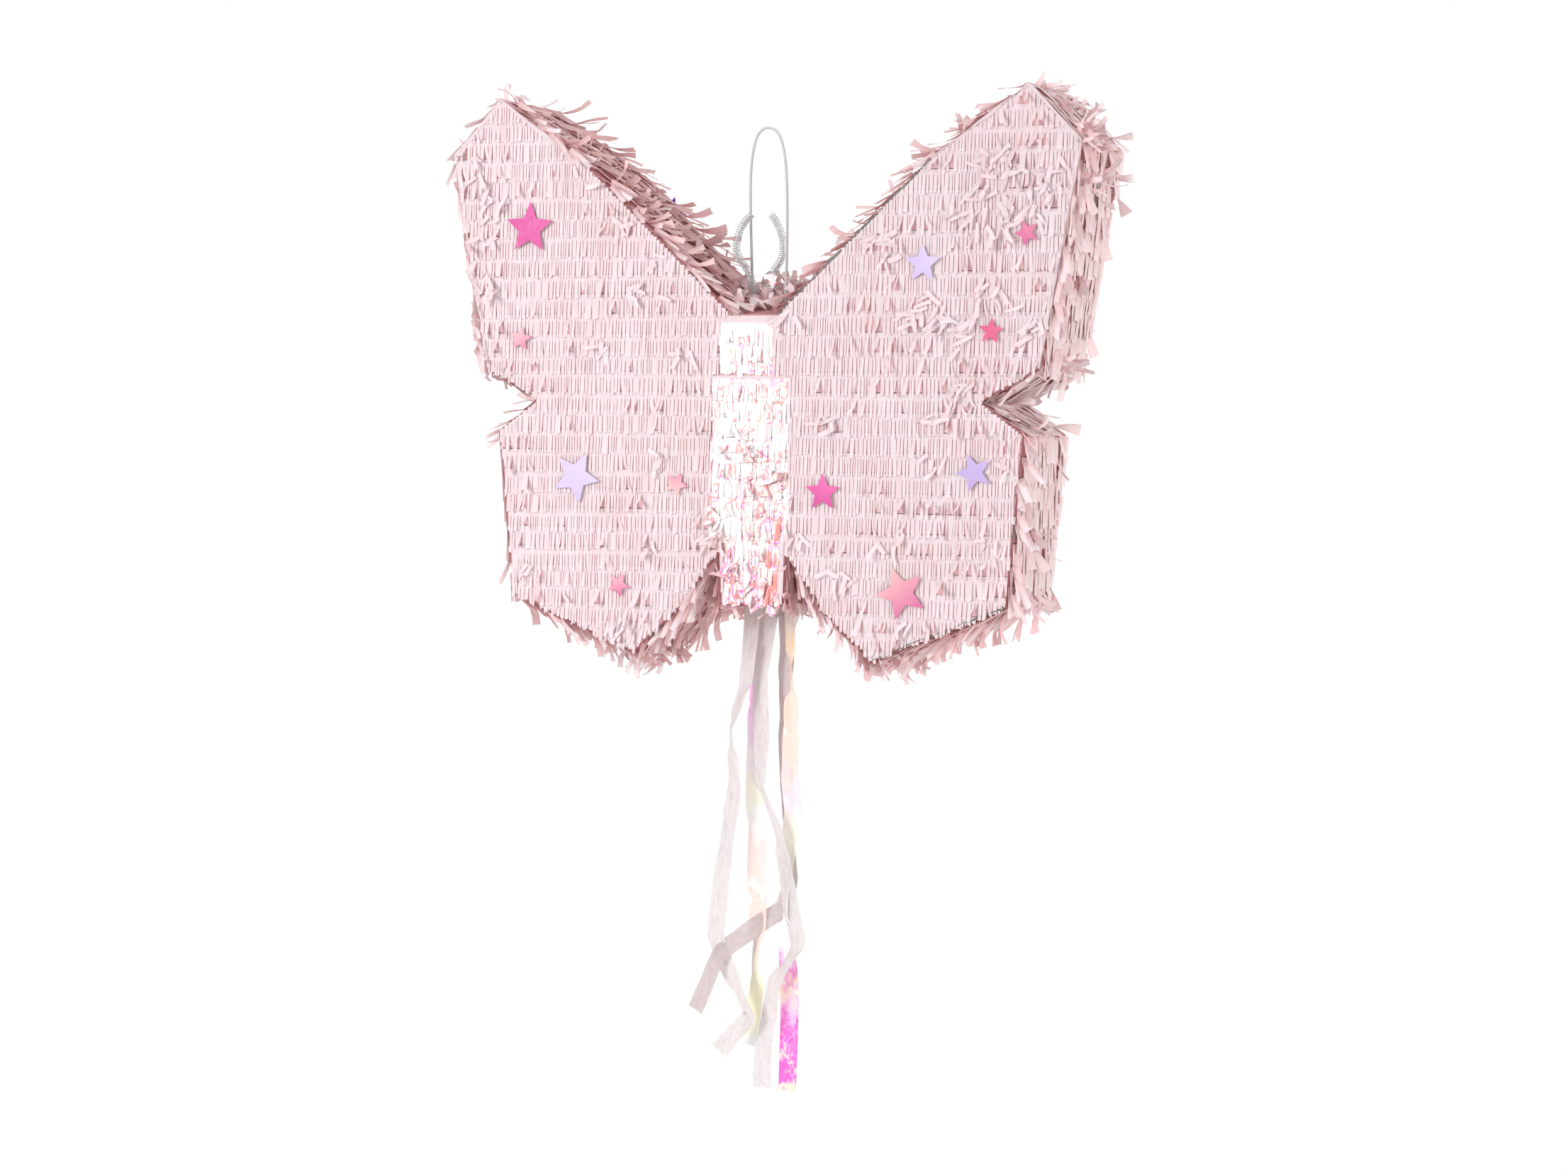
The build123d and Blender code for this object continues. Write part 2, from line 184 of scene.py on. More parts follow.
class Finish:
    """A material that is put together node by node."""

    def __init__(self, name, **surface):
        self.material = bpy.data.materials.new(name)
        self.material.use_nodes = True
        self.tree = self.material.node_tree
        self.surface = self.tree.nodes["Principled BSDF"]
        self.output = self.tree.nodes["Material Output"]
        self.set(self.surface, surface)

    def set(self, node, inputs):
        for key, value in inputs.items():
            socket = node.inputs[key] if isinstance(key, int) else node.inputs[key.replace("_", " ")]
            if isinstance(value, bpy.types.NodeSocket):
                self.tree.links.new(value, socket)
            elif socket.type == "RGBA":
                socket.default_value = (*value[:3], 1.0)
            else:
                socket.default_value = value

    def node(self, kind, inputs=None, **settings):
        node = self.tree.nodes.new("ShaderNode" + kind)
        for key, value in settings.items():
            setattr(node, key, value)
        self.set(node, inputs or {})
        return node

    def attribute(self, name):
        return self.node("Attribute", attribute_name=name, attribute_type="GEOMETRY").outputs["Fac"]

    def coordinates(self, scale=(1, 1, 1), source="Object", turn=(0, 0, 0)):
        start = self.node("TexCoord").outputs[source]
        return self.node("Mapping", {"Vector": start, "Scale": scale, "Rotation": turn}).outputs[0]

    def noise(self, scale, stretch=(1, 1, 1), detail=3.0, distortion=0.0, source="Object",
              rough=0.5, turn=(0, 0, 0)):
        where = self.coordinates(stretch, source, turn)
        return self.node("TexNoise", {"Vector": where, "Scale": scale, "Detail": detail,
                                      "Roughness": rough, "Distortion": distortion}).outputs["Fac"]

    def math(self, operation, a, b=0.0, clamp=False):
        return self.node("Math", {0: a, 1: b}, operation=operation, use_clamp=clamp).outputs[0]

    def total(self, *terms):
        """The sum of terms, each a value or a pair of value and weight."""
        result = 0.0
        for term in terms:
            part = self.math("MULTIPLY", term[0], term[1]) if isinstance(term, tuple) else term
            result = self.math("ADD", part, result)
        return result

    def spread(self, value, low, high, to_low=0.0, to_high=1.0):
        return self.node("MapRange", {"Value": value, "From_Min": low, "From_Max": high,
                                      "To_Min": to_low, "To_Max": to_high}).outputs[0]

    def blend(self, factor, a, b, kind="MIX"):
        return self.node("Mix", {0: factor, 6: a, 7: b}, data_type="RGBA", blend_type=kind,
                         clamp_factor=True).outputs[2]

    def ramp(self, value, *stops):
        node = self.node("ValToRGB", {"Fac": value})
        band = node.color_ramp
        while len(band.elements) < len(stops):
            band.elements.new(0.5)
        for element, (at, tint) in zip(band.elements, stops):
            element.position = at
            element.color = (*tint[:3], 1.0)
        return node.outputs["Color"]

    def bump(self, height, distance, strength=1.0, under=None):
        inputs = {"Height": height, "Distance": distance, "Strength": strength}
        if under is not None:
            inputs["Normal"] = under
        return self.node("Bump", inputs).outputs[0]

    def paint(self, **sockets):
        self.set(self.surface, sockets)
        return self

    def through(self, tint, amount):
        """Lets some light through a thin sheet."""
        glow = self.node("BsdfTranslucent", {"Color": tint})
        mixed = self.node("MixShader", {0: amount, 1: self.surface.outputs[0], 2: glow.outputs[0]})
        self.tree.links.new(mixed.outputs[0], self.output.inputs["Surface"])
        return self


def board_finish(name="greyboard", depth=1.0):
    """Bare greyboard: flecked pulp in faint clouds."""
    made = Finish(name, Roughness=0.9, Specular_IOR_Level=0.2)
    flecks = made.noise(900, detail=6)
    clouds = made.noise(60, detail=2)
    level = made.total((flecks, 0.6), (clouds, 0.4))
    stops = ((0.3, (0.20, 0.185, 0.17)), (0.5, (0.33, 0.31, 0.29)), (0.7, (0.45, 0.43, 0.41)))
    tint = made.ramp(level, *((at, scaled(tone, depth)) for at, tone in stops))
    made.paint(Base_Color=tint, Normal=made.bump(flecks, 0.0002, 0.4))
    return made.material


def tissue_finish(name, pale, deep, under=None, patches=False, root_painted_shade=0.10, tip_painted_light=0.0, cloud=0.12):
    """Crepe-like tissue, deeper in the slits, near the roots and from tongue to tongue. The deeper slits and
    roots are painted shade, the paler tips painted light, and the change from tongue to tongue a random tone.
    """
    made = Finish(name, Roughness=0.82, Specular_IOR_Level=0.25, Sheen_Weight=0.15,
                  Sheen_Roughness=0.5)
    clouds = made.noise(26, detail=2)
    fibre = made.noise(700, (1, 1, 0.35), detail=5, rough=0.6)
    creases = made.noise(160, (1, 1, 0.45), detail=3, distortion=0.6)
    depth = made.total((made.spread(clouds, 0.35, 0.65), cloud), (fibre, 0.16), -0.08)
    if under is None:
        # Painted shade: the tongues deepen towards the deep tint at their edges, for the shade in the slits,
        # and near their roots, under the row above; the paler tips are painted light.
        rim = made.math("POWER", made.attribute("rim"), 3.0)
        run = made.attribute("run")
        root = made.spread(run, 0.3, 0.02)
        depth = made.total(depth, (rim, 0.34), (made.attribute("shade"), 0.07), (root, root_painted_shade),
                           (made.spread(run, 0.9, 0.25), tip_painted_light))
    else:
        # A fixed share of the deep tint: painted slit shade on the skins and the edge tape, plain grey on the
        # knots.
        depth = made.total(depth, under)
    tint = made.blend(made.math("ADD", depth, 0.0, clamp=True), pale, deep)
    if patches:
        bare = made.spread(made.noise(45, detail=2, distortion=0.5), 0.60, 0.63)
        tint = made.blend(bare, tint, (0.36, 0.33, 0.32))
    normal = made.bump(creases, 0.0016, 0.3, made.bump(fibre, 0.0003, 0.4))
    made.paint(Base_Color=tint, Normal=normal)
    made.through(made.blend(0.4, tint, deep), 0.24)
    return made.material


def film_finish(name, settings, cut=True):
    """Iridescent film: white where it shines, a painted highlight, streaked with coral, magenta and peach."""
    made = Finish(name, Roughness=0.25, Specular_IOR_Level=0.6, Coat_Weight=0.3,
                  Coat_Roughness=0.12)
    streaks = made.noise(78, (1.0, 1.0, 0.26), detail=3, distortion=1.5, rough=0.5)
    bands = made.noise(38, (0.6, 1, 1.3), detail=3, distortion=1.0)
    height = made.node("SeparateXYZ", {"Vector": made.coordinates()}).outputs["Z"]
    low_down = made.spread(height, -0.255, -0.318, 0.0, 0.105)
    level = made.total((streaks, 0.66), (bands, 0.34), low_down)
    if cut:
        level = made.total(level, (made.spread(made.attribute("run"), 0.8, 1.0), 0.035),
                           (made.attribute("shade"), 0.012))
    # The pale stops paint the film's shine in as painted highlight; the coral, magenta and peach are its
    # iridescent streaks.
    tint = made.ramp(
        level, (0.0, settings.peach), (0.37, settings.peach), (0.40, settings.pale),
        (0.495, settings.pale), (0.52, settings.coral), (0.545, settings.pale),
        (0.575, settings.peach), (0.60, settings.magenta), (0.625, settings.pale), (0.655, settings.coral))
    normal = made.bump(streaks, 0.0020, 0.45, made.bump(bands, 0.004, 0.3))
    made.paint(Base_Color=tint, Normal=normal)
    return made.material


def foil_finish(name, low, high, accent=None, gloss=0.42):
    """Star foil that fades from one tint to another, with faint rubbed clouds."""
    made = Finish(name, Specular_IOR_Level=0.25, Coat_Weight=0.05, Coat_Roughness=0.4)
    clouds = made.noise(220, detail=3, distortion=0.4)
    fade = made.total(made.attribute("fade"), (clouds, 0.24), -0.12)
    tint = made.blend(made.math("ADD", fade, 0.0, clamp=True), low, high)
    if accent:
        tint = made.blend(made.attribute("tone"), tint, accent)
    scuff = made.noise(900, (1, 1, 0.3), detail=2)
    rough = made.spread(scuff, 0.3, 0.7, gloss - 0.08, gloss + 0.14)
    made.paint(Base_Color=tint, Roughness=rough, Normal=made.bump(clouds, 0.0009, 0.25))
    return made.material


def cord_finish(tint):
    """Braided cord: slanting ribs along its length, darker in the grooves between them as painted shade."""
    made = Finish("loop_cord", Roughness=0.75, Sheen_Weight=0.2)
    wave = made.node("TexWave", {"Vector": made.coordinates((180, 2, 1), "UV"), "Scale": 1.0,
                                 "Distortion": 0.4}, bands_direction="DIAGONAL").outputs["Fac"]
    fuzz = made.noise(1500, detail=3)
    # Painted shade: the cord is darker in the grooves between its ribs, where the wave is low.
    low = scaled(tint, 0.62)
    level = made.total((wave, 0.7), (fuzz, 0.3))
    made.paint(Base_Color=made.blend(level, low, tint), Normal=made.bump(wave, 0.0003, 0.5))
    return made.material


def tinsel_finish(tint):
    """Clear plastic bristles, darker towards their tips as painted shade."""
    made = Finish("clear_tinsel", Roughness=0.3, Alpha=0.85, Specular_IOR_Level=0.7)
    cloud = made.noise(400, detail=2)
    pale = made.blend(cloud, scaled(tint, 0.86), tint)
    # Painted shade: the bristles darken towards their tips.
    ends = made.spread(made.attribute("run"), 0.7, 1.0)
    made.paint(Base_Color=made.blend(ends, pale, scaled(tint, 0.5)))
    return made.material


def wire_finish(tint):
    """Thin drawn wire, dull and a little dark."""
    made = Finish("stem_wire", Metallic=0.25)
    draw = made.noise(1800, (1, 1, 0.2), detail=2)
    made.paint(Base_Color=made.blend(draw, scaled(tint, 0.6), tint),
               Roughness=made.spread(draw, 0.3, 0.7, 0.32, 0.5))
    return made.material


def streamer_tissue_finish(name, tint):
    """Creased tissue of the streamers, darker in the creases as painted shade and paler on their ridges as
    painted light.
    """
    made = Finish(name, Roughness=0.85, Sheen_Weight=0.15)
    creases = made.noise(4, (1.6, 9.0, 1), detail=4, distortion=0.8, source="UV", rough=0.55)
    fibre = made.noise(900, detail=4)
    level = made.total((creases, 0.8), (fibre, 0.2))
    # Painted shade in the creases and painted light on their ridges.
    dark = scaled(tint, 0.90, 0.85, 0.85)
    pale = tuple(min(0.96, c * 1.07) for c in tint)
    shade = made.ramp(level, (0.32, dark), (0.5, tint), (0.66, pale))
    made.paint(Base_Color=shade, Normal=made.bump(creases, 0.003, 0.25, made.bump(fibre, 0.0002, 0.3)))
    made.through(shade, 0.25)
    return made.material


def streamer_film_finish(name, stops):
    """Clear iridescent film whose tint changes down the streamer, with painted glints along its folds."""
    made = Finish(name, Roughness=0.16, Coat_Weight=0.6, Coat_Roughness=0.1,
                  Specular_IOR_Level=0.7)
    where = made.coordinates((1, 1, 1), "UV")
    split = made.node("SeparateXYZ", {"Vector": where})
    wander = made.noise(6, (0.5, 4.0, 1), detail=2, distortion=0.6, source="UV")
    level = made.total(split.outputs["Y"], (wander, 0.16), -0.08)
    tint = made.ramp(level, *stops)
    folds = made.noise(3.2, (0.3, 8.0, 1), detail=2, distortion=0.7, source="UV")
    # Painted highlight: pale glints along the folds, mixed into the tint.
    dark, glint = (0, 0, 0), (0.25, 0.25, 0.25)
    shine = made.ramp(folds, (0.0, dark), (0.54, dark), (0.575, glint), (0.61, dark))
    tint = made.blend(shine, tint, (0.97, 0.95, 0.94))
    clear = made.spread(folds, 0.35, 0.65, 0.8, 0.95)
    made.paint(Base_Color=tint, Alpha=clear, Normal=made.bump(folds, 0.004, 0.25))
    return made.material


# Meshes


def waver(seed):
    """A smooth, seeded noise over two lengths in metres, from about -1 to 1."""
    rng = np.random.default_rng(seed)
    waves = []
    for angle, phase, pace in rng.uniform((0, 0, 3.1), (6.283, 6.283, 13.8), (6, 3)):
        waves.append((math.cos(angle) * pace, math.sin(angle) * pace, phase))

    def value(a, b, size):
        return sum(math.sin((a * p + b * q) / size + phase) for p, q, phase in waves) / 2.6
    return value


def grid_mesh(name, points, attributes=None, uv=None):
    """A mesh of separate grids from an array of (grid, row, column, xyz)."""
    count, rows, columns, _ = points.shape
    cell = np.arange(rows * columns).reshape(rows, columns)
    quads = np.stack([cell[:-1, :-1], cell[1:, :-1], cell[1:, 1:], cell[:-1, 1:]], -1).reshape(-1, 4)
    faces = (quads[None] + (np.arange(count) * rows * columns)[:, None, None]).reshape(-1, 4)
    mesh = bpy.data.meshes.new(name)
    mesh.vertices.add(count * rows * columns)
    mesh.vertices.foreach_set("co", points.astype(np.float32).ravel())
    mesh.loops.add(len(faces) * 4)
    mesh.loops.foreach_set("vertex_index", faces.astype(np.int32).ravel())
    mesh.polygons.add(len(faces))
    mesh.polygons.foreach_set("loop_start", np.arange(0, len(faces) * 4, 4, dtype=np.int32))
    mesh.polygons.foreach_set("use_smooth", np.ones(len(faces), bool))
    mesh.update(calc_edges=True)
    mesh.validate()
    for key, values in (attributes or {}).items():
        layer = mesh.attributes.new(key, "FLOAT", "POINT")
        layer.data.foreach_set("value", np.broadcast_to(values, points.shape[:3]).astype(np.float32).ravel())
    if uv is not None:
        layer = mesh.uv_layers.new(name="UVMap")
        flat = np.broadcast_to(uv, (*points.shape[:3], 2)).reshape(-1, 2)
        layer.data.foreach_set("uv", flat[faces.ravel()].astype(np.float32).ravel())
    piece = bpy.data.objects.new(name, mesh)
    bpy.context.scene.collection.objects.link(piece)
    return piece


def settle(piece, material, body, slot, *nodes):
    """Gives a finished piece its material and its body, and hides the nodes that it stands for. The slot is
    not used.
    """
    piece.data.materials.clear()
    piece.data.materials.append(material)
    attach(piece, body)
    if nodes:
        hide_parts(*nodes)
    return piece


class Tongues:
    """Cut tongues, collected one at a time and then made into one mesh."""

    STEPS = 4
    SHARES = (0.10, 0.30, 0.30, 0.30)

    def __init__(self):
        self.rows = []

    def add(self, root, down, out, width, band, size, lift, curl, lean, twist, cup, shade, rise, narrow):
        self.rows.append((*root, *down, *out, width, band, size, lift, curl, lean, twist, cup,
                          shade, rise, narrow))

    def add_loose(self, rng, root, down, out, width, size, lift, curl, lean, twist, cup, narrow,
                  even_lift=False, band=SPARE_STRIP_BAND):
        """One loose strip of random shape. Width is a range, size a range or a length already drawn,
        and narrow the most that it narrows. Lift, curl, lean, twist, in degrees, and cup are each a
        middle and a spread, but an even lift is a range."""
        drawn_width = rng.uniform(*width)
        drawn_size = rng.uniform(*size) if isinstance(size, tuple) else size
        drawn_lift = (rng.uniform if even_lift else rng.normal)(*lift)
        curl, lean, twist = (math.radians(rng.normal(*spread)) for spread in (curl, lean, twist))
        self.add(tuple(root), tuple(down), tuple(out), drawn_width, band, drawn_size,
                 math.radians(drawn_lift), curl, lean, twist, rng.normal(*cup), rng.normal(0, 1), 0.0,
                 rng.uniform(0, narrow))

    def build(self, name, slit, crumple=0.00012):
        data = np.array(self.rows)
        rng = np.random.default_rng(len(self.rows))
        root, down, out = data[:, 0:3], data[:, 3:6], data[:, 6:9]
        width, band, size, lift, curl, lean, twist, cup, shade, rise, narrow = data[:, 9:].T
        across = np.cross(out, down)
        count, rows = len(data), self.STEPS + 2
        points = np.zeros((count, rows, 3, 3))
        sides = (-0.5, 0.0, 0.5)
        middle = root + down * band[:, None] + out * rise[:, None]
        for j, side in enumerate(sides):
            points[:, 0, j] = root + across * (side * width)[:, None]
            points[:, 1, j] = middle + across * (side * width)[:, None]
        reached = np.cumsum(self.SHARES)
        for k in range(1, self.STEPS + 1):
            t = reached[k - 1] - self.SHARES[k - 1] / 2
            theta = (lift + curl * t)[:, None]
            phi = (lean * min(1.0, 1.6 * t))[:, None]
            along = np.cos(phi) * down + np.sin(phi) * across
            step = (size * self.SHARES[k - 1])[:, None]
            middle = middle + step * (np.cos(theta) * along + np.sin(theta) * out)
            flat = -np.sin(phi) * down + np.cos(phi) * across
            up = np.cos(theta) * out - np.sin(theta) * along
            turn = (twist * (k / self.STEPS) ** 1.3)[:, None]
            lateral = np.cos(turn) * flat + np.sin(turn) * up
            normal = -np.sin(turn) * flat + np.cos(turn) * up
            drawn_in = narrow * (k / self.STEPS) ** 2
            breadth = (np.maximum(width - slit, width * 0.5) * (1 - drawn_in))[:, None]
            dent = rng.normal(0, crumple, (count, 3, 1)) * k / self.STEPS
            for j, side in enumerate(sides):
                bow = cup[:, None] * (1 - 4 * side * side) * normal * min(1, 2 * k / self.STEPS)
                points[:, 1 + k, j] = middle + lateral * breadth * side + bow + dent[:, j] * normal
        slant = rng.normal(0, 0.0005, (count, 3, 1))
        points[:, -1] += slant * down[:, None, :]
        points[..., 1] = np.clip(points[..., 1], CAD_BOX[0].y - STRIP_REACH, CAD_BOX[1].y + STRIP_REACH)
        run = np.concatenate([[0.0, 0.25], 0.25 + 0.75 * reached])
        rim = np.ones((rows, 3)) * np.array([1.0, 0.0, 1.0])
        rim[0] = 0.0
        rim[1] *= 0.5
        attributes = {"shade": shade[:, None, None], "run": run[None, :, None], "rim": rim[None]}
        return grid_mesh(name, points, attributes)


def face_outline(node, front):
    """The corners, in X and Z, of the outer edge of a panel's front or back face, clockwise."""
    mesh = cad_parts[node].data
    points = np.array([v.co for v in mesh.vertices])
    level = points[:, 1].min() if front else points[:, 1].max()
    counts = {}
    for face in mesh.polygons:
        corners = [tuple(np.round(points[i], 6)) for i in face.vertices]
        if any(abs(c[1] - level) > 1e-5 for c in corners):
            continue
        for a, b in zip(corners, corners[1:] + corners[:1]):
            key = tuple(sorted((a, b)))
            counts[key] = counts.get(key, 0) + 1
    steps = {}
    for (a, b), count in counts.items():
        if count == 1:
            steps.setdefault(a, []).append(b)
            steps.setdefault(b, []).append(a)
    loops = []
    while steps:
        start = next(iter(steps))
        loop, here, before = [start], start, None
        while True:
            after = [p for p in steps.pop(here, []) if p != before]
            if not after or after[0] == start or after[0] not in steps:
                break
            before, here = here, after[0]
            loop.append(here)
        loops.append([(p[0], p[2]) for p in loop])
    outline = max(loops, key=lambda pts: max(p[0] for p in pts) - min(p[0] for p in pts))
    area = sum(a[0] * b[1] - b[0] * a[1] for a, b in zip(outline, outline[1:] + outline[:1]))
    return outline if area < 0 else outline[::-1]


def inside(outline, x, z):
    """Whether a point in X and Z lies inside an outline."""
    hit = False
    for (ax, az), (bx, bz) in zip(outline, outline[1:] + outline[:1]):
        if (az > z) != (bz > z) and x < (bx - ax) * (z - az) / (bz - az) + ax:
            hit = not hit
    return hit


def square(low, high):
    """The outline of a box seen from the front."""
    return [(low.x, high.z), (high.x, high.z), (high.x, low.z), (low.x, low.z)]


def depth_range():
    """The front and back of the tissue on the walls."""
    low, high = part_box("left_wing_side_fringe")
    return low.y, high.y


def spans(outline, x):
    """The stretches of a plumb line at x that lie inside an outline, as low and high Z."""
    cuts = []
    for (ax, az), (bx, bz) in zip(outline, outline[1:] + outline[:1]):
        if (ax > x) != (bx > x):
            cuts.append(az + (bz - az) * (x - ax) / (bx - ax))
    cuts.sort()
    return list(zip(cuts[::2], cuts[1::2]))


def cuts(rng, start, end, width, uneven=0.4):
    """The places of the slits along a row, where now and then a tongue is nearly twice as wide."""
    places = [start]
    while places[-1] < end:
        wide = 1.7 if rng.random() < 0.08 else 1.0
        places.append(places[-1] + width * wide * rng.uniform(1 - uneven, 1 + uneven))
    return places


# Clusters of rumpled tissue on the two faces: X, Z, radius in millimetres and strength
RUMPLES = [
    (-222, 104, 20, 0.5), (-216, 30, 16, 0.35), (-206, -30, 18, 0.4), (-166, -56, 16, 0.6),
    (-196, -100, 14, 0.5), (-180, -190, 20, 0.3), (-100, -222, 22, 0.4), (-60, -60, 14, 0.35),
    (-118, 66, 14, 0.4), (92, 12, 22, 0.4), (110, -20, 24, 0.4), (150, 40, 26, 0.35),
    (196, 96, 26, 0.5), (222, 60, 22, 0.45), (206, -6, 20, 0.5), (176, -44, 22, 0.8),
    (168, -66, 16, 0.8), (186, -96, 16, 0.6), (150, -134, 20, 0.35), (172, -186, 22, 0.5),
    (100, -222, 24, 0.5), (120, -158, 20, 0.3), (60, -70, 18, 0.3), (20, -150, 14, 0.4),
    (-30, -158, 16, 0.5), (186, 140, 18, 0.5), (70, -20, 10, 0.5), (140, -66, 14, 0.5),
]


def rumple(x, z):
    """How rumpled the tissue is at a place in millimetres from the notch."""
    return sum(k * math.exp(-((x - a) ** 2 + (z - b) ** 2) / r ** 2) for a, b, r, k in RUMPLES)


def shape_tongue(rng, mess):
    """Lift, curl, lean, twist and cup of one tongue, tidy or wild by its mess from 0 to 1, or flat
    where mess is below 0. The bare draw after each lift isn't used; it keeps the later draws in step."""
    if mess < 0:
        return math.radians(2.5), 0.0, 0.0, 0.0, 0.0
    if rng.random() > mess:
        lift = math.radians(rng.uniform(2, 6))
        rng.random()
        return (lift, math.radians(rng.normal(0, 3)), math.radians(rng.normal(0, 0.9)),
                math.radians(rng.normal(0, 7)), rng.normal(0.00010, 0.00020))
    wild = rng.uniform(0.3, 1.0)
    lift = math.radians(rng.uniform(8, 40)) * wild
    rng.random()
    return (lift, math.radians(rng.normal(18, 38)) * wild, math.radians(rng.normal(0, 24)) * wild,
            math.radians(rng.normal(0, 60)) * wild, rng.normal(0.0002, 0.0003))


def lay_face(tongues, rng, tissue, outline, plane, out, x_range, z_range, blocks=(), calm=(),
             base_mess=None, overhang=0.0035, tongue=None, tops=None):
    """Level rows of tongues over one face, cut off at the outline."""
    out, down = np.array(out, float), np.array((0.0, 0.0, -1.0))
    noise = waver(int(rng.integers(1e6)))
    base_mess = tissue.disorder if base_mess is None else base_mess
    width = tongue or tissue.tongue
    top = z_range[1] if tops is None else tops
    row = 0
    while top > z_range[0]:
        tilt, shift = rng.normal(0.0, 0.0025), rng.normal(0, 0.0003)
        edges = cuts(rng, x_range[0] + rng.uniform(-0.002, 0), x_range[1], width)
        band_here = tissue.band + rng.normal(0, 0.0004)
        hang = tissue.overlap + rng.normal(0, 0.0003)
        for left, right in zip(edges, edges[1:]):
            x = (left + right) / 2
            line = top + shift + tilt * (x - sum(x_range) / 2) + 0.0007 * noise(x, row * 0.05, 0.3)
            low = line - tissue.pitch - hang + rng.normal(0, 0.00045)
            for bottom, ceiling in spans(outline, x):
                root = min(line, ceiling - 0.0002)
                tip = max(low, bottom - rng.uniform(0.0, overhang))
                if root - tip < 0.003:
                    continue
                if any(a < x < b and c < (root + tip) / 2 - 0.002 < d for a, b, c, d in blocks):
                    continue
                bx, bz = x / MM + LOOP_TOP.x, max(tip, bottom) / MM + LOOP_TOP.z
                mess = base_mess + rumple(bx, bz)
                if any(math.hypot(x - sx, (root + tip) / 2 - sz) < r + 0.004 for sx, sz, r in calm):
                    mess = -1.0
                whole = root - tip
                uncut = tissue.overlap + band_here + rng.normal(0, 0.0006)
                uncut += 0.004 if rng.random() < 0.05 else 0
                band = min(max(uncut - (line - root), 0.0008), whole * 0.6)
                lift, curl, lean, twist, cup = shape_tongue(rng, min(mess, 0.75))
                height = 0.00035 + 0.00012 * noise(x, row * 0.05, 0.12)
                tongues.add((x, plane + out[1] * height, root), down, out, right - left, band,
                            whole - band, lift, curl, lean, twist, cup, rng.normal(0, 1),
                            0.0002 + 0.0001 * noise(x, row * 0.05 + 1, 0.09), rng.uniform(0, 0.05))
        top -= tissue.pitch
        row += 1


def lay_wall(tongues, rng, tissue, outline, start, end, y_range, mess=0.55, stretch=1.0, wide=1.0,
             floor=None, stick_out=0.5):
    """Rows of tongues down one wall, from its higher corner to its lower one."""
    a, b = (start, end) if start[1] >= end[1] - 1e-6 else (end, start)
    down = np.array((b[0] - a[0], 0.0, b[1] - a[1]))
    size = float(np.linalg.norm(down))
    down /= size
    out = np.array((-down[2], 0.0, down[0]))
    probe = ((a[0] + b[0]) / 2 + out[0] * 0.002, (a[1] + b[1]) / 2 + out[2] * 0.002)
    if inside(outline, *probe):
        out = -out
    across = np.cross(out, down)
    count = max(1, round(size / tissue.pitch))
    for row in range(count):
        v = size * row / count
        edges = cuts(rng, y_range[0] - 0.0015, y_range[1] + 0.001, tissue.tongue * wide, 0.45)
        for low, high in zip(edges, edges[1:]):
            y = (low + high) / 2
            spot = np.array((a[0], 0.0, a[1])) + down * (v + rng.normal(0, 0.0008))
            spot += out * (WALL_SKIN + 0.0004)
            spot[1] = y
            if floor and spot[2] < floor(y) + 0.004:
                continue
            reach = size / count + tissue.overlap + rng.normal(0.001, 0.0015)
            reach *= stretch
            band = tissue.band + tissue.overlap
            lift, curl, lean, twist, cup = shape_tongue(rng, mess)
            edge = (y - sum(y_range) / 2) / ((y_range[1] - y_range[0]) / 2)
            if abs(edge) > 0.8 and rng.random() < stick_out:
                lean = math.copysign(math.radians(rng.uniform(5, 50)), edge) * math.copysign(1, across[1])
                lift += math.radians(rng.uniform(0, 25))
            if floor and v > size * 0.72:
                lift = min(lift, math.radians(22))
            widest = math.asin(min(1.0, 0.0085 / reach))
            if abs(edge) > 0.55:
                lean = min(max(lean, -widest), widest)
            tip = spot + down * reach * math.cos(lift + curl / 2) + out * reach * math.sin(lift + curl / 2)
            if inside(outline, tip[0], tip[2]):
                lift, curl, reach = math.radians(4), 0.0, reach * 0.6
                tip = spot + down * reach
                if inside(outline, tip[0], tip[2]):
                    continue
            uncut = min(band, reach * 0.45)
            tongues.add(spot, down, out, high - low, uncut, reach - uncut, lift, curl, lean, twist, cup,
                        rng.normal(0, 1), 0.0003, rng.uniform(0, 0.25))


def deselect():
    for item in bpy.context.selected_objects:
        item.select_set(False)


def use_only(piece):
    deselect()
    piece.select_set(True)
    bpy.context.view_layer.objects.active = piece


# Operators


class PINATA_OT_card(bpy.types.Operator):
    """Gives the card, the skins under the fringe and the wire their finishes"""
    bl_idname = "pinata.card"
    bl_label = "Card and Skins"

    def execute(self, context):
        tissue = context.scene.pinata_tissue
        board = board_finish()
        # Painted shade: the skins under the fringe show through the slits and carry the slits' shade; the
        # wall skins are the wall shade made deeper still.
        front = tissue_finish("skin_tissue", tissue.front, tissue.slit_depth, under=0.95)
        wall = tissue_finish("wall_skin_tissue", tissue.wall_shade, scaled(tissue.wall_shade, 0.8),
                             under=0.5, patches=True)
        film = film_finish("skin_film", context.scene.pinata_film, cut=False)
        wire = wire_finish(context.scene.pinata_loop.wire)
        cord = tissue_finish("knot_cord", (0.7, 0.7, 0.7), (0.5, 0.5, 0.5), under=0.5)
        for name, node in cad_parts.items():
            if name in ("back_fringe", "flap_fringe", "left_front_fringe", "right_front_fringe"):
                finish = front
            elif name.endswith("_fringe"):
                finish = wall
            elif name.endswith("_film"):
                finish = film
            elif name == "antenna_wire":
                finish = wire
            elif name == "loop_knots":
                finish = cord
            else:
                finish = board
            node.data.materials.clear()
            node.data.materials.append(finish)
        return {"FINISHED"}


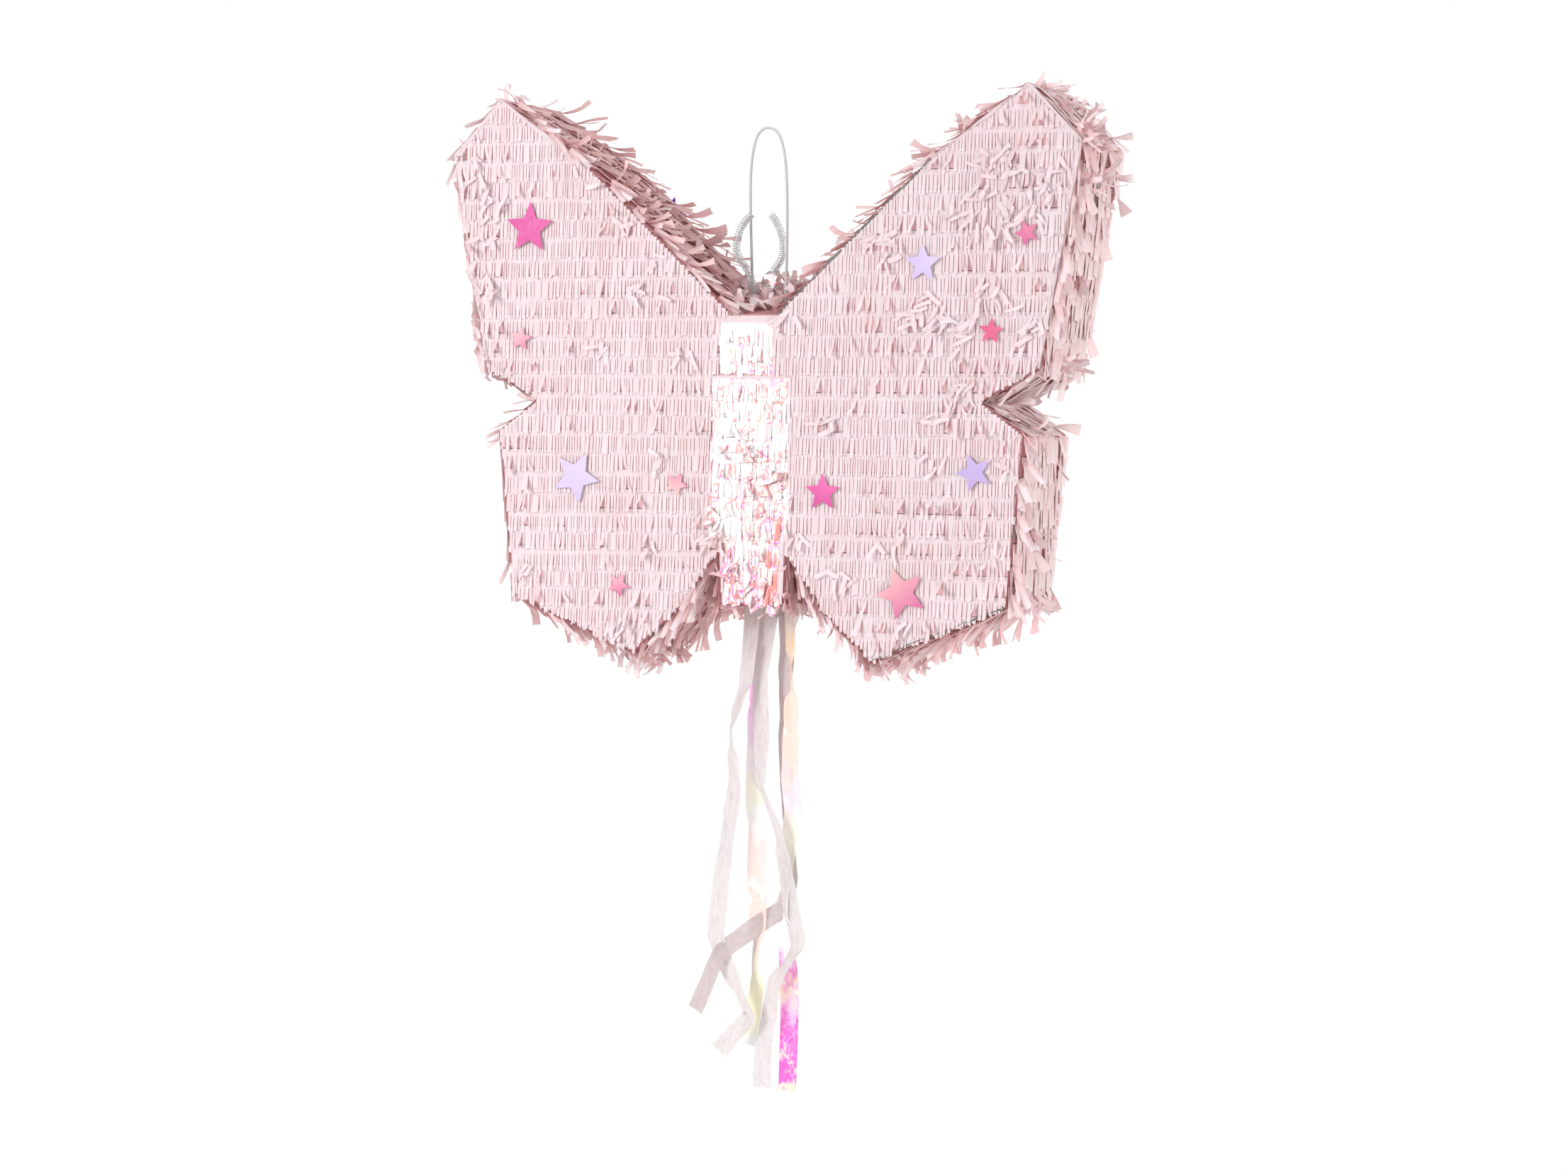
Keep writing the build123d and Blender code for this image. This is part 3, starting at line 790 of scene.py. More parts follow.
class PINATA_OT_faces(bpy.types.Operator):
    """Lays the rows of cut tissue on the front, the back and the filling flap"""
    bl_idname = "pinata.faces"
    bl_label = "Tissue on the Faces"

    def execute(self, context):
        tissue = context.scene.pinata_tissue
        finish = tissue_finish("pink_tissue", tissue.front, tissue.front_shade)
        rng = np.random.default_rng(tissue.seed)
        outline = face_outline("front_panel", True)
        low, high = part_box("left_front_fringe")[0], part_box("right_front_fringe")[1]
        blocks = [(a.x, b.x, a.z, b.z) for a, b in map(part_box, FILM_NODES)]
        calm = star_discs(STAR_NODES, CALM_REACH)
        middle = (blocks[1][0] + blocks[1][1]) / 2
        for side, start, end in (("left", low.x, middle), ("right", middle, high.x)):
            tongues = Tongues()
            lay_face(tongues, rng, tissue, outline, low.y, FRONT_WAY, (start, end), (low.z, high.z),
                     blocks, calm)
            settle(tongues.build(side + "_front_tongues", tissue.slit), finish, "box", "pink_tissue")
        rear = face_outline("back_panel", False)
        flap_low, flap_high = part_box("flap_fringe")
        back_low, back_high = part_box("back_fringe")
        door = (flap_low.x - DOOR_GAP, flap_high.x + DOOR_GAP, flap_low.z - DOOR_GAP, flap_high.z + DOOR_GAP)
        violet = star_discs(("violet_star",), CALM_REACH)
        for side, start, end in (("left", back_low.x, middle), ("right", middle, back_high.x)):
            tongues = Tongues()
            lay_back(tongues, rng, tissue, rear, back_high.y, (start, end), (back_low.z, back_high.z),
                     door, violet)
            settle(tongues.build(side + "_back_tongues", tissue.slit), finish, "box", "pink_tissue")
        tongues = Tongues()
        lay_face(tongues, rng, tissue, square(flap_low, flap_high), flap_high.y, BACK_WAY,
                 (flap_low.x, flap_high.x - 0.0018), (flap_low.z, flap_high.z - FLAP_MARGIN),
                 overhang=0.0004, base_mess=0.08)
        settle(tongues.build("flap_tongues", tissue.slit), finish, "flap", "pink_tissue")
        return {"FINISHED"}


def lay_back(tongues, rng, tissue, outline, plane, x_range, z_range, door, calm):
    """The back's rows, which stop at the filling flap. A tongue near it lies flat, one that would
    hang over its top is cut short, and one that starts on it starts under it or is left out."""
    gathered = Tongues()
    lay_face(gathered, rng, tissue, outline, plane, BACK_WAY, x_range, z_range, calm=calm, base_mess=0.1)
    left, right, sill, head = door
    flat = (0.06, 0.0, 0.0, 0.0)
    for row in gathered.rows:
        x, z, width, band, size = row[0], row[2], row[9], row[10], row[11]
        shape = row[12:]
        if left - 0.012 < x < right + 0.012 and sill - 0.002 < z < head + 0.016:
            shape = (*flat, *row[16:])
        if left - width / 2 < x < right + width / 2:
            tip = z - band - size
            if sill < z <= head + 0.004:
                if tip >= sill - 0.004:
                    continue
                z, band = sill, min(band, (sill - tip) / 2)
                size = sill - tip - band
            elif z > head and tip < head + FLAP_MARGIN:
                band = min(band, (z - head - FLAP_MARGIN) / 2)
                size = z - head - FLAP_MARGIN - band
        tongues.rows.append((*row[:2], z, *row[3:10], band, size, *shape))


# How each kind of wall is laid: disorder, length and width of the tongues against the usual, and
# the share of those at the edges that stick out
WALL_STYLES = {
    "slope": (0.5, 1.5, 2.3, 0.7),
    "side": (0.16, 1.15, 2.8, 0.16),
    "under": (0.5, 1.4, 2.2, 0.6),
}


class PINATA_OT_walls(bpy.types.Operator):
    """Lays the shaggy tissue on the walls between the two faces"""
    bl_idname = "pinata.walls"
    bl_label = "Tissue on the Walls"

    def execute(self, context):
        tissue = context.scene.pinata_tissue
        rng = np.random.default_rng(tissue.seed + 1)
        # Shaded copies of the face tissue: painted shade on the slopes and undersides, less on the outer
        # sides, and more near the roots.
        finish = tissue_finish("wall_tissue", tissue.wall, tissue.wall_shade, root_painted_shade=0.2, tip_painted_light=0.5)
        outer = tissue_finish("side_tissue", tissue.side, tissue.side_shade, root_painted_shade=0.2, tip_painted_light=0.25)
        outline = face_outline("front_panel", True)
        rear = face_outline("back_panel", False)
        y_range = depth_range()
        notch_front = min(z for x, z in outline if abs(x - 0.006) < 0.018 and z > -0.2)
        notch_back = min(z for x, z in rear if abs(x - 0.006) < 0.045 and z > -0.14)

        def floor(y):
            return notch_front + (notch_back - notch_front) * (y - y_range[0]) / (y_range[1] - y_range[0])

        for side in ("left", "right"):
            groups = {part: Tongues() for part in WALL_STYLES}
            for start, end in zip(outline, outline[1:] + outline[:1]):
                x = (start[0] + end[0]) / 2 + LOOP_TOP.x * MM
                z = (start[1] + end[1]) / 2 + LOOP_TOP.z * MM
                central = abs(x) <= MM
                if central and (side == "left" or z > -0.1):
                    continue
                if not central and (x < 0) != (side == "left"):
                    continue
                slope = z > 0 and abs(x) < 0.199
                part = "slope" if slope else "side" if abs(x) > 0.176 else "under"
                mess, stretch, wide, stick_out = WALL_STYLES[part]
                lay_wall(groups[part], rng, tissue, outline, start, end, y_range, mess, stretch, wide,
                         floor if slope else None, stick_out)
            for part, tongues in groups.items():
                piece = tongues.build(f"{side}_{part}_tongues", tissue.slit)
                settle(piece, outer if part == "side" else finish, "box", "pink_tissue")
        return {"FINISHED"}


def edge_tape(outline, corners, plane, reach, rng, wrap):
    """A grid of uncut tissue folded over the front edge between corners: down the face, over the edge."""
    noise = waver(int(rng.integers(1e6)))
    rows = []
    for (ax, az), (bx, bz) in zip(corners, corners[1:]):
        size = math.hypot(bx - ax, bz - az)
        along = ((bx - ax) / size, (bz - az) / size)
        outward = (-along[1], along[0])
        if inside(outline, (ax + bx) / 2 + outward[0] * 0.002, (az + bz) / 2 + outward[1] * 0.002):
            outward = (-outward[0], -outward[1])
        for k in range(max(2, int(size / 0.002))):
            t = k / max(1, int(size / 0.002) - 1)
            s = len(rows) * 0.002
            inner = max(0.0004, reach * (0.7 + 0.6 * noise(s, 0, 0.09) + 0.4 * noise(s, 3, 0.025)))
            line = []
            profile = ((inner, 0.6), (inner * 0.6, 1.0), (inner * 0.2, 1.0), (-0.0014 * wrap, 0.75),
                       (-0.0020 * wrap, -0.6), (-0.0019 * wrap, -3.0))
            for j, (depth, height) in enumerate(profile):
                wobble = 0.0004 * noise(s, j * 0.01, 0.03) + 0.00025 * noise(s, j * 0.003, 0.012)
                shift = depth - 0.0004 * noise(s + 5, j * 0.01, 0.05)
                x = ax + (bx - ax) * t - outward[0] * shift
                z = az + (bz - az) * t - outward[1] * shift
                line.append((x, plane - (height * CREASE_LIP + wobble), z))
            rows.append(line)
    return np.array([rows])


NOTCH_SCRAPS = 90
FILM_SCRAPS = 6

# Tufts of loose strips: X, Z, spread, share of the depth from front to back, and how many
TUFTS = [
    (226, 116, 9, 0.0, 0.6, 46), (208, 134, 8, 0.1, 0.9, 18), (196, 150, 6, 0.1, 0.8, 12),
    (228, 92, 8, 0.0, 0.8, 22), (206, -34, 8, 0.0, 0.9, 20), (168, -58, 6, 0.0, 0.6, 22),
    (186, -76, 6, 0.0, 0.9, 16), (-232, 110, 7, 0.0, 0.4, 14), (-198, 150, 5, 0.1, 0.6, 10),
    (-166, -58, 6, 0.0, 0.5, 14), (-200, -38, 6, 0.0, 0.5, 8), (-192, -84, 6, 0.0, 0.4, 8),
    (92, -234, 9, 0.0, 0.9, 24), (-92, -234, 9, 0.0, 0.9, 20), (184, -190, 8, 0.0, 0.9, 20),
    (24, -192, 8, 0.0, 0.7, 18), (-26, -164, 7, 0.0, 0.5, 12), (24, -160, 6, 0.0, 0.4, 10),
    (-58, 36, 7, 0.2, 1.0, 14), (-96, 72, 7, 0.2, 1.0, 12), (-140, 110, 7, 0.2, 1.0, 12),
    (100, 80, 6, 0.0, 0.3, 6), (150, 122, 6, 0.0, 0.3, 6), (64, 46, 6, 0.0, 0.3, 6),
]


# Loose strips across the rows: X, Z, spread, direction in degrees and how many
STRAYS = [
    (182, 100, 9, 210, 16), (160, 72, 10, 250, 16), (176, 62, 8, 300, 10), (98, 50, 8, 200, 10),
    (128, 2, 9, 230, 14), (150, -8, 10, 200, 18), (172, 16, 7, 250, 8), (206, -6, 7, 240, 12),
    (196, 66, 8, 250, 12), (212, 88, 7, 250, 12), (60, -72, 4, 190, 5), (142, -68, 5, 190, 6),
    (150, -50, 5, 250, 6), (186, -58, 6, 200, 8), (178, -104, 6, 240, 10), (170, -152, 6, 250, 6),
    (132, -98, 5, 240, 4), (100, -150, 5, 260, 5), (34, -150, 4, 240, 6), (64, -176, 7, 250, 6),
    (-214, 96, 8, 300, 10), (-196, 78, 8, 240, 10), (-208, 58, 6, 250, 8), (-212, 0, 6, 250, 8),
    (-206, 20, 5, 250, 6), (-64, 40, 6, 240, 7), (-92, 16, 7, 330, 8), (-100, 62, 6, 250, 5),
    (-120, 92, 6, 300, 6), (-112, -20, 4, 240, 4), (-196, -96, 6, 250, 8), (-190, -60, 6, 200, 6),
    (-30, -152, 5, 250, 6), (-70, -96, 4, 250, 4), (-176, -176, 6, 250, 5), (-96, -214, 7, 250, 8),
    (-56, -24, 4, 250, 4), (24, 4, 4, 250, 4), (-78, -160, 5, 250, 4), (112, -206, 7, 230, 7),
    (-150, 128, 5, 320, 6), (-176, 140, 5, 260, 6),
]


# Long loose strips that lie along an edge: from X, Z to X, Z, share of the depth, and how many
TRAILS = [
    (24, -158, 84, -226, 0.0, 0.12, 30), (-26, -164, -84, -226, 0.0, 0.12, 26),
    (100, -234, 180, -194, 0.05, 0.5, 22), (-100, -234, -180, -196, 0.0, 0.5, 22),
    (-22, 4, -190, 152, 0.0, 0.16, 52), (40, 22, 196, 156, 0.02, 0.12, 14),
    (226, 108, 210, -30, 0.0, 0.2, 26), (-232, 100, -214, -28, 0.0, 0.1, 18),
    (178, -70, 188, -188, 0.0, 0.15, 18),
]


def lay_trails(tongues, rng, outline, y_range):
    """Long strips that have come loose along the edges and hang a little clear of them."""
    for ax, az, bx, bz, front, back, count in TRAILS:
        a, b = place(ax, 0, az), place(bx, 0, bz)
        along = (b - a).normalized() * (1 if b.z < a.z else -1)
        away = Vector((-along.z, 0, along.x))
        middle = (a + b) / 2
        if inside(outline, middle.x + away.x * 0.006, middle.z + away.z * 0.006):
            away = -away
        for _ in range(count):
            spot = a.lerp(b, rng.uniform(0, 1))
            while inside(outline, spot.x, spot.z):
                spot += away * 0.001
            spot += away * rng.uniform(0.0004, 0.0034)
            spot.y = y_range[0] + (y_range[1] - y_range[0]) * rng.uniform(front, back) - 0.0016
            way = along + away * rng.uniform(-0.1, 0.45) + Vector((0, rng.normal(-0.04, 0.1), -0.1))
            way.normalize()
            side = (away * rng.uniform(0.2, 0.9) + Vector((0, -1, 0))).normalized()
            side = (side - way * side.dot(way)).normalized()
            tongues.add_loose(rng, spot, way, side, (0.0030, 0.0054), (0.011, 0.020), (-2, 14), (8, 30),
                              (0, 12), (0, 35), (0.0002, 0.0003), 0.25, even_lift=True, band=0.002)


def lay_tufts(tongues, rng, outline, y_range):
    """Loose strips that stand off the corners and edges in every direction."""
    for x, z, spread, front, back, count in TUFTS:
        for _ in range(count):
            y = y_range[0] + (y_range[1] - y_range[0]) * rng.uniform(front, back) - 0.001
            spot = place(x + rng.normal(0, spread * 0.5), 0, z + rng.normal(0, spread * 0.5))
            spot.y = y
            middle = place(0, 0, -60)
            away = Vector((spot.x - middle.x, 0, spot.z - middle.z)).normalized()
            if inside(outline, spot.x, spot.z):
                spot += away * 0.004
            way = away * rng.uniform(0.3, 1.0) + Vector(rng.normal(0, 0.55, 3)) + Vector((0, -0.25, -0.2))
            way.normalize()
            side = way.cross(Vector(rng.normal(0, 1, 3))).normalized()
            if inside(outline, spot.x + way.x * 0.01, spot.z + way.z * 0.01) and abs(way.y) < 0.8:
                continue
            size = rng.uniform(0.009, 0.017)
            ends_at = spot.y + way.y * size
            if not y_range[0] - 0.008 < ends_at < y_range[1] + 0.006:
                way.y *= -0.3
                way.normalize()
                side = (side - way * side.dot(way)).normalized()
            tongues.add_loose(rng, spot, way, side, (0.0028, 0.0048), size, (0, 18), (0, 45), (0, 14),
                              (0, 50), (0.0001, 0.0002), 0.3)


class PINATA_OT_edges(bpy.types.Operator):
    """Folds uncut tissue over the front edges, and adds the loose tufts and the scraps in the notch"""
    bl_idname = "pinata.edges"
    bl_label = "Edges and Tufts"

    def execute(self, context):
        tissue = context.scene.pinata_tissue
        rng = np.random.default_rng(tissue.seed + 5)
        outline = face_outline("front_panel", True)
        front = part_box("left_front_fringe")[0].y
        # A little painted slit shade on the folded edges and on the strips over the film.
        smooth = tissue_finish("edge_tissue", tissue.front, tissue.front_shade, under=0.12)
        notch = min(range(len(outline)),
                    key=lambda i: abs(outline[i][0] - 0.023) + abs(outline[i][1] + 0.130))
        turned = outline[notch:] + outline[:notch]
        lobe = min(range(len(turned)), key=lambda i: math.hypot(turned[i][0] - 0.098, turned[i][1] + 0.366))
        board = board_finish("cut_board", 0.6)
        taped, bare = (0.7, smooth, "pink_tissue"), (0.3, board, "greyboard")
        for name, corners, reach, (wrap, finish, slot) in (
                ("left_edge_tape", turned[-2:-6:-1], 0.0016, taped),
                ("right_edge_tape", turned[1:5], 0.0016, taped),
                ("right_slope_board_edge", turned[0:2], 0.0004, bare),
                ("right_lobe_board_edge", turned[lobe - 1:lobe + 1], 0.0012, bare)):
            piece = grid_mesh(name, edge_tape(outline, corners, front, reach, rng, wrap))
            if sum(face.normal.y * face.area for face in piece.data.polygons) > 0:
                piece.data.flip_normals()
            settle(piece, finish, "box", slot)
        for node, over in (("upper_film", 0.0045), ("middle_film", 0.0018)):
            low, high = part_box(node)
            xs = np.linspace(low.x - 0.001, high.x + 0.001, 24)
            wave = 0.0003 * np.sin(xs * 700.0) - 0.0004
            strip = np.array([[[(x, front + w, high.z + up) for x, w in zip(xs, wave)]
                               for up in (over, over / 2, -0.0004)]])
            settle(grid_mesh(node + "_top_strip", strip), smooth, "box", "pink_tissue")
        # Painted shade near the roots and painted light on the tips of the loose strips and scraps.
        loose = tissue_finish("loose_tissue", tissue.front, tissue.wall_shade, root_painted_shade=0.15, tip_painted_light=0.35)
        y_range = depth_range()
        tongues = Tongues()
        lay_tufts(tongues, rng, outline, y_range)
        lay_trails(tongues, rng, outline, y_range)
        settle(tongues.build("loose_tufts", 0.0, 0.0003), loose, "box", "pink_tissue")
        self.scraps(rng, loose)
        self.strays(rng, tissue, front, outline)
        return {"FINISHED"}

    def strays(self, rng, tissue, front, outline):
        """Loose strips that lie across the rows where the tissue is rumpled."""
        strips = Tongues()
        stars = star_discs(STAR_NODES, 1.0)
        for x, z, spread, turn, count in STRAYS:
            for _ in range(count):
                spot = place(x + rng.normal(0, spread), 0, z + rng.normal(0, spread * 0.7))
                angle = math.radians(turn + rng.normal(0, 38))
                way = (math.cos(angle), 0.0, math.sin(angle))
                size = rng.uniform(0.007, 0.014)
                far = (spot.x + way[0] * size, spot.z + way[2] * size)
                if not inside(outline, spot.x, spot.z) or not inside(outline, *far):
                    continue
                if any(math.hypot(spot.x + way[0] * size * t - sx, spot.z + way[2] * size * t - sz) < r
                       for sx, sz, r in stars for t in (0, 0.5, 1)):
                    continue
                root = (spot.x, front - rng.uniform(0.0014, 0.0024), spot.z)
                strips.add_loose(rng, root, way, FRONT_WAY, (0.0022, 0.0038), size, (2, 26), (-14, 22),
                                 (0, 16), (0, 32), (0.0002, 0.0003), 0.2, even_lift=True)
        # Painted shade near the roots of the stray strips.
        finish = tissue_finish("stray_tissue", tissue.front, tissue.front_shade, root_painted_shade=0.1)
        settle(strips.build("front_stray_strips", 0.0, 0.0003), finish, "box", "pink_tissue")

    def scraps(self, rng, finish):
        """Crumpled tissue piled round the foot of the antennae."""
        scraps = Tongues()
        low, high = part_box("notch_fringe")
        for _ in range(NOTCH_SCRAPS):
            x = place(rng.normal(-6, 9), 0, 0).x
            y = low.y + 0.002 + (high.y - low.y) * rng.beta(1.1, 1.6)
            rise = (y - low.y) / (high.y - low.y) * (high.z - low.z)
            spot = (x, y, low.z + rise + rng.uniform(0.001, 0.006))
            way = Vector((rng.normal(0, 0.7), rng.normal(-0.3, 0.6), rng.uniform(0.1, 1.0))).normalized()
            side = way.cross(Vector(rng.normal(0, 1, 3))).normalized()
            scraps.add_loose(rng, spot, way, side, (0.004, 0.008), (0.007, 0.014), (0, 30), (0, 80),
                             (0, 25), (0, 70), (0.0003, 0.0005), 0.3)
        settle(scraps.build("notch_scraps", 0.0, 0.0006), finish, "box", "pink_tissue")


# Crumpled film: X, Z, spread in X and Z, direction in degrees and how many
FILM_CREASES = [
    (-16, -96, 9, 2.5, 4, 12), (4, -112, 8, 4, 12, 6), (2, -186, 7, 5, 250, 12), (-12, -172, 5, 5, 230, 6),
    (-22, -142, 3, 5, 240, 5),
]


class PINATA_OT_film(bpy.types.Operator):
    """Lays the rows of cut film down the middle of the front"""
    bl_idname = "pinata.film"
    bl_label = "Film"

    def execute(self, context):
        tissue, film = context.scene.pinata_tissue, context.scene.pinata_film
        rng = np.random.default_rng(tissue.seed + 2)
        finish = film_finish("iridescent_film", film)
        for node in FILM_NODES:
            low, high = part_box(node)
            tongues = Tongues()
            lay_face(tongues, rng, tissue, square(low, high), low.y, FRONT_WAY, (low.x, high.x),
                     (low.z, high.z), base_mess=0.16, tongue=film.tongue)
            settle(tongues.build(node + "_tongues", 0.0003), finish, "box", "iridescent_film")
        self.creases(rng, finish)
        return {"FINISHED"}

    def creases(self, rng, finish):
        """Film crumpled across the rows, and scraps of it at the abdomen's end and the antennae's foot."""
        scraps = Tongues()
        low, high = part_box("middle_film")
        for x, z, spread_x, spread_z, turn, count in FILM_CREASES:
            for _ in range(count):
                spot = place(x + rng.normal(0, spread_x), 0, z + rng.normal(0, spread_z))
                angle = math.radians(turn + rng.normal(0, 16 if turn < 90 else 40))
                way = (math.cos(angle), 0.0, math.sin(angle))
                inset = min(max(spot.x, low.x + 0.001), high.x - 0.008)
                root = (inset, low.y - rng.uniform(0.0014, 0.0026), spot.z)
                scraps.add_loose(rng, root, way, FRONT_WAY, (0.003, 0.006), (0.007, 0.014), (0, 20),
                                 (-10, 30), (0, 14), (0, 45), (0.0003, 0.0004), 0.3, even_lift=True)
        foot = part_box("antenna_wire")
        for _ in range(FILM_SCRAPS):
            spot = ((foot[0].x + foot[1].x) / 2 + 0.006 + rng.uniform(-0.002, 0.004),
                    (foot[0].y + foot[1].y) / 2 - 0.003, foot[0].z + 0.008 + rng.uniform(0, 0.008))
            scraps.add(spot, (rng.uniform(0.5, 0.9), 0.1, rng.uniform(0.2, 0.7)), (0.1, -1.0, 0.1),
                       rng.uniform(0.003, 0.005), 0.001, rng.uniform(0.006, 0.010), 0.1, rng.normal(0, 0.6),
                       0.0, rng.normal(0, 0.6), 0.0002, 0.0, 0.0, 0.2)
        settle(scraps.build("film_scraps", 0.0, 0.0005), finish, "box", "iridescent_film")


STAR_NODES = ("hot_pink_stars", "pink_stars", "lilac_stars")
STAR_SPACING = 0.040
STAR_CORNERS = 10
STAR_WAIST = 0.46
STAR_CUTS = 5
STAR_BEND = 0.0011
CALM_REACH = 1.15


def star_places(node):
    """Centre, radius and clockwise turn of each star in a node."""
    left, places = np.unique(np.round([v.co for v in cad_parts[node].data.vertices], 6), axis=0), []
    while len(left):
        near = np.linalg.norm(left - left[0], axis=1) < STAR_SPACING
        cluster, left = left[near], left[~near]
        centre = cluster.mean(0)
        flat = cluster[:, (0, 2)] - centre[[0, 2]]
        reach = np.linalg.norm(flat, axis=1)
        tip = flat[reach.argmax()]
        turn = math.degrees(math.atan2(tip[0], tip[1])) % 72
        places.append((Vector(centre), float(reach.max()), turn))
    return sorted(places, key=lambda item: item[0].x)


def star_discs(nodes, reach):
    """X, Z and radius, times reach, of the stars in some nodes."""
    return [(centre.x, centre.z, radius * reach) for node in nodes for centre, radius, _ in star_places(node)]


# How each star fades: direction in degrees, start and end of the fade, and share of the accent
FADES = {
    "hot_pink_stars": [(90, 0.15, 0.3, 0.0), (90, 0.0, 0.9, 0.0)],
    "pink_stars": [(120, 0.2, 1.0, 0.0), (100, 0.0, 0.9, 0.0), (240, 0.3, 1.2, 0.0),
                   (125, -0.1, 1.0, 0.0), (90, 0.0, 0.2, 0.8), (90, 0.0, 0.4, 0.2)],
    "lilac_stars": [(80, 0.6, 1.0, 0.0), (70, 0.5, 0.9, 0.0), (60, 0.0, 0.45, 0.0)],
    "violet_star": [(90, 0.0, 0.4, 0.0)],
}


class PINATA_OT_stars(bpy.types.Operator):
    """Cuts the foil stars and lays them, a little bent, on the tissue"""
    bl_idname = "pinata.stars"
    bl_label = "Stars"

    def execute(self, context):
        stars, rng = context.scene.pinata_stars, np.random.default_rng(23)
        paler = tuple(min(1, c * 1.25 + 0.12) for c in stars.hot_pink)
        finishes = {
            "hot_pink_stars": ("hot_pink_foil", stars.hot_pink, paler, None),
            "pink_stars": ("pink_foil", stars.pink, stars.peach, (0.68, 0.11, 0.22)),
            "lilac_stars": ("lilac_foil", stars.lilac, (0.64, 0.54, 0.77), None),
            "violet_star": ("violet_foil", stars.violet, (0.25, 0.06, 0.6), None),
        }
        for node, (slot, low, high, accent) in finishes.items():
            finish = foil_finish(slot, low, high, accent)
            pieces = []
            for (centre, radius, turn), fade in zip(star_places(node), FADES[node]):
                pieces.append(self.cut(node, centre, radius, turn, fade, stars, rng))
            use_only(pieces[0])
            for piece in pieces:
                piece.select_set(True)
            if len(pieces) > 1:
                bpy.ops.object.join()
            piece = bpy.context.view_layer.objects.active
            piece.name = node.replace("_stars", "").replace("_star", "") + "_foil_stars"
            settle(piece, finish, "box", slot, node)
        return {"FINISHED"}

    def cut(self, node, centre, radius, turn, fade, stars, rng):
        """One star: a ten-cornered disc with every other corner drawn in, then bent and thickened."""
        deselect()
        bpy.ops.mesh.primitive_circle_add(vertices=STAR_CORNERS, radius=radius, fill_type="TRIFAN")
        piece = bpy.context.object
        mesh = piece.data
        rim = sorted((v.index for v in mesh.vertices if v.co.length > radius * 0.5),
                     key=lambda i: math.atan2(mesh.vertices[i].co.x, mesh.vertices[i].co.y) % (2 * math.pi))
        bpy.ops.object.mode_set(mode="EDIT")
        bpy.ops.mesh.select_mode(type="VERT")
        bpy.ops.mesh.select_all(action="DESELECT")
        bpy.ops.object.mode_set(mode="OBJECT")
        for k, index in enumerate(rim):
            mesh.vertices[index].select = k % 2 == 1
        bpy.ops.object.mode_set(mode="EDIT")
        bpy.ops.transform.resize(value=(STAR_WAIST,) * 3, center_override=(0, 0, 0))
        bpy.ops.mesh.select_all(action="SELECT")
        bpy.ops.mesh.subdivide(number_cuts=STAR_CUTS)
        bpy.ops.object.mode_set(mode="OBJECT")
        fade_turn, fade_start, fade_end, accent = fade
        angle = math.radians(fade_turn)
        bend_angle, bend = rng.uniform(0, math.pi), rng.uniform(0.2, 0.6)
        values = []
        for vertex in mesh.vertices:
            x, y = vertex.co.x / radius, vertex.co.y / radius
            along = x * math.cos(angle + math.radians(turn)) + y * math.sin(angle + math.radians(turn))
            values.append(fade_start + (fade_end - fade_start) * (along + 1) / 2)
            side = x * math.cos(bend_angle) + y * math.sin(bend_angle)
            ripple = math.sin(3.1 * x + turn) * math.cos(2.7 * y + turn)
            vertex.co.z = (bend * side * side + 0.25 * ripple) * STAR_BEND
        for key, data in (("fade", values), ("tone", [accent] * len(values))):
            layer = mesh.attributes.new(key, "FLOAT", "POINT")
            layer.data.foreach_set("value", data)
        thick = piece.modifiers.new("foil", "SOLIDIFY")
        thick.thickness = stars.thickness
        thick.offset = 1.0
        bpy.ops.object.modifier_apply(modifier=thick.name)
        if node == "violet_star":
            face = Matrix.Rotation(math.radians(-90), 4, "X") @ Matrix.Rotation(math.pi, 4, "Z")
            spin = Matrix.Rotation(math.radians(turn), 4, "Z")
            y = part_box("back_fringe")[1].y + stars.rise
        else:
            face = Matrix.Rotation(math.radians(90), 4, "X")
            spin = Matrix.Rotation(-math.radians(turn), 4, "Z")
            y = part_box("left_front_fringe")[0].y - stars.rise
        tilt = Matrix.Rotation(math.radians(rng.uniform(-1.5, 1.5)), 4, "X")
        piece.data.transform(Matrix.Translation((centre.x, y, centre.z)) @ face @ spin @ tilt)
        return piece


# The loop's route, and where its cord leaves the notch floor, in millimetres from the notch
LOOP_ROUTE = [
    (-19.0, -3.0, 6.24), (-20.5, -4.0, 50.0), (-21.0, -6.0, 95.0), (-18.0, -7.5, 118.0),
    (-12.0, -9.0, 130.0), (0.0, -11.0, 130.0), (7.0, -13.0, 118.0), (10.5, -15.0, 95.0),
    (12.5, -18.0, 50.0), (12.0, -20.0, 2.29),
]


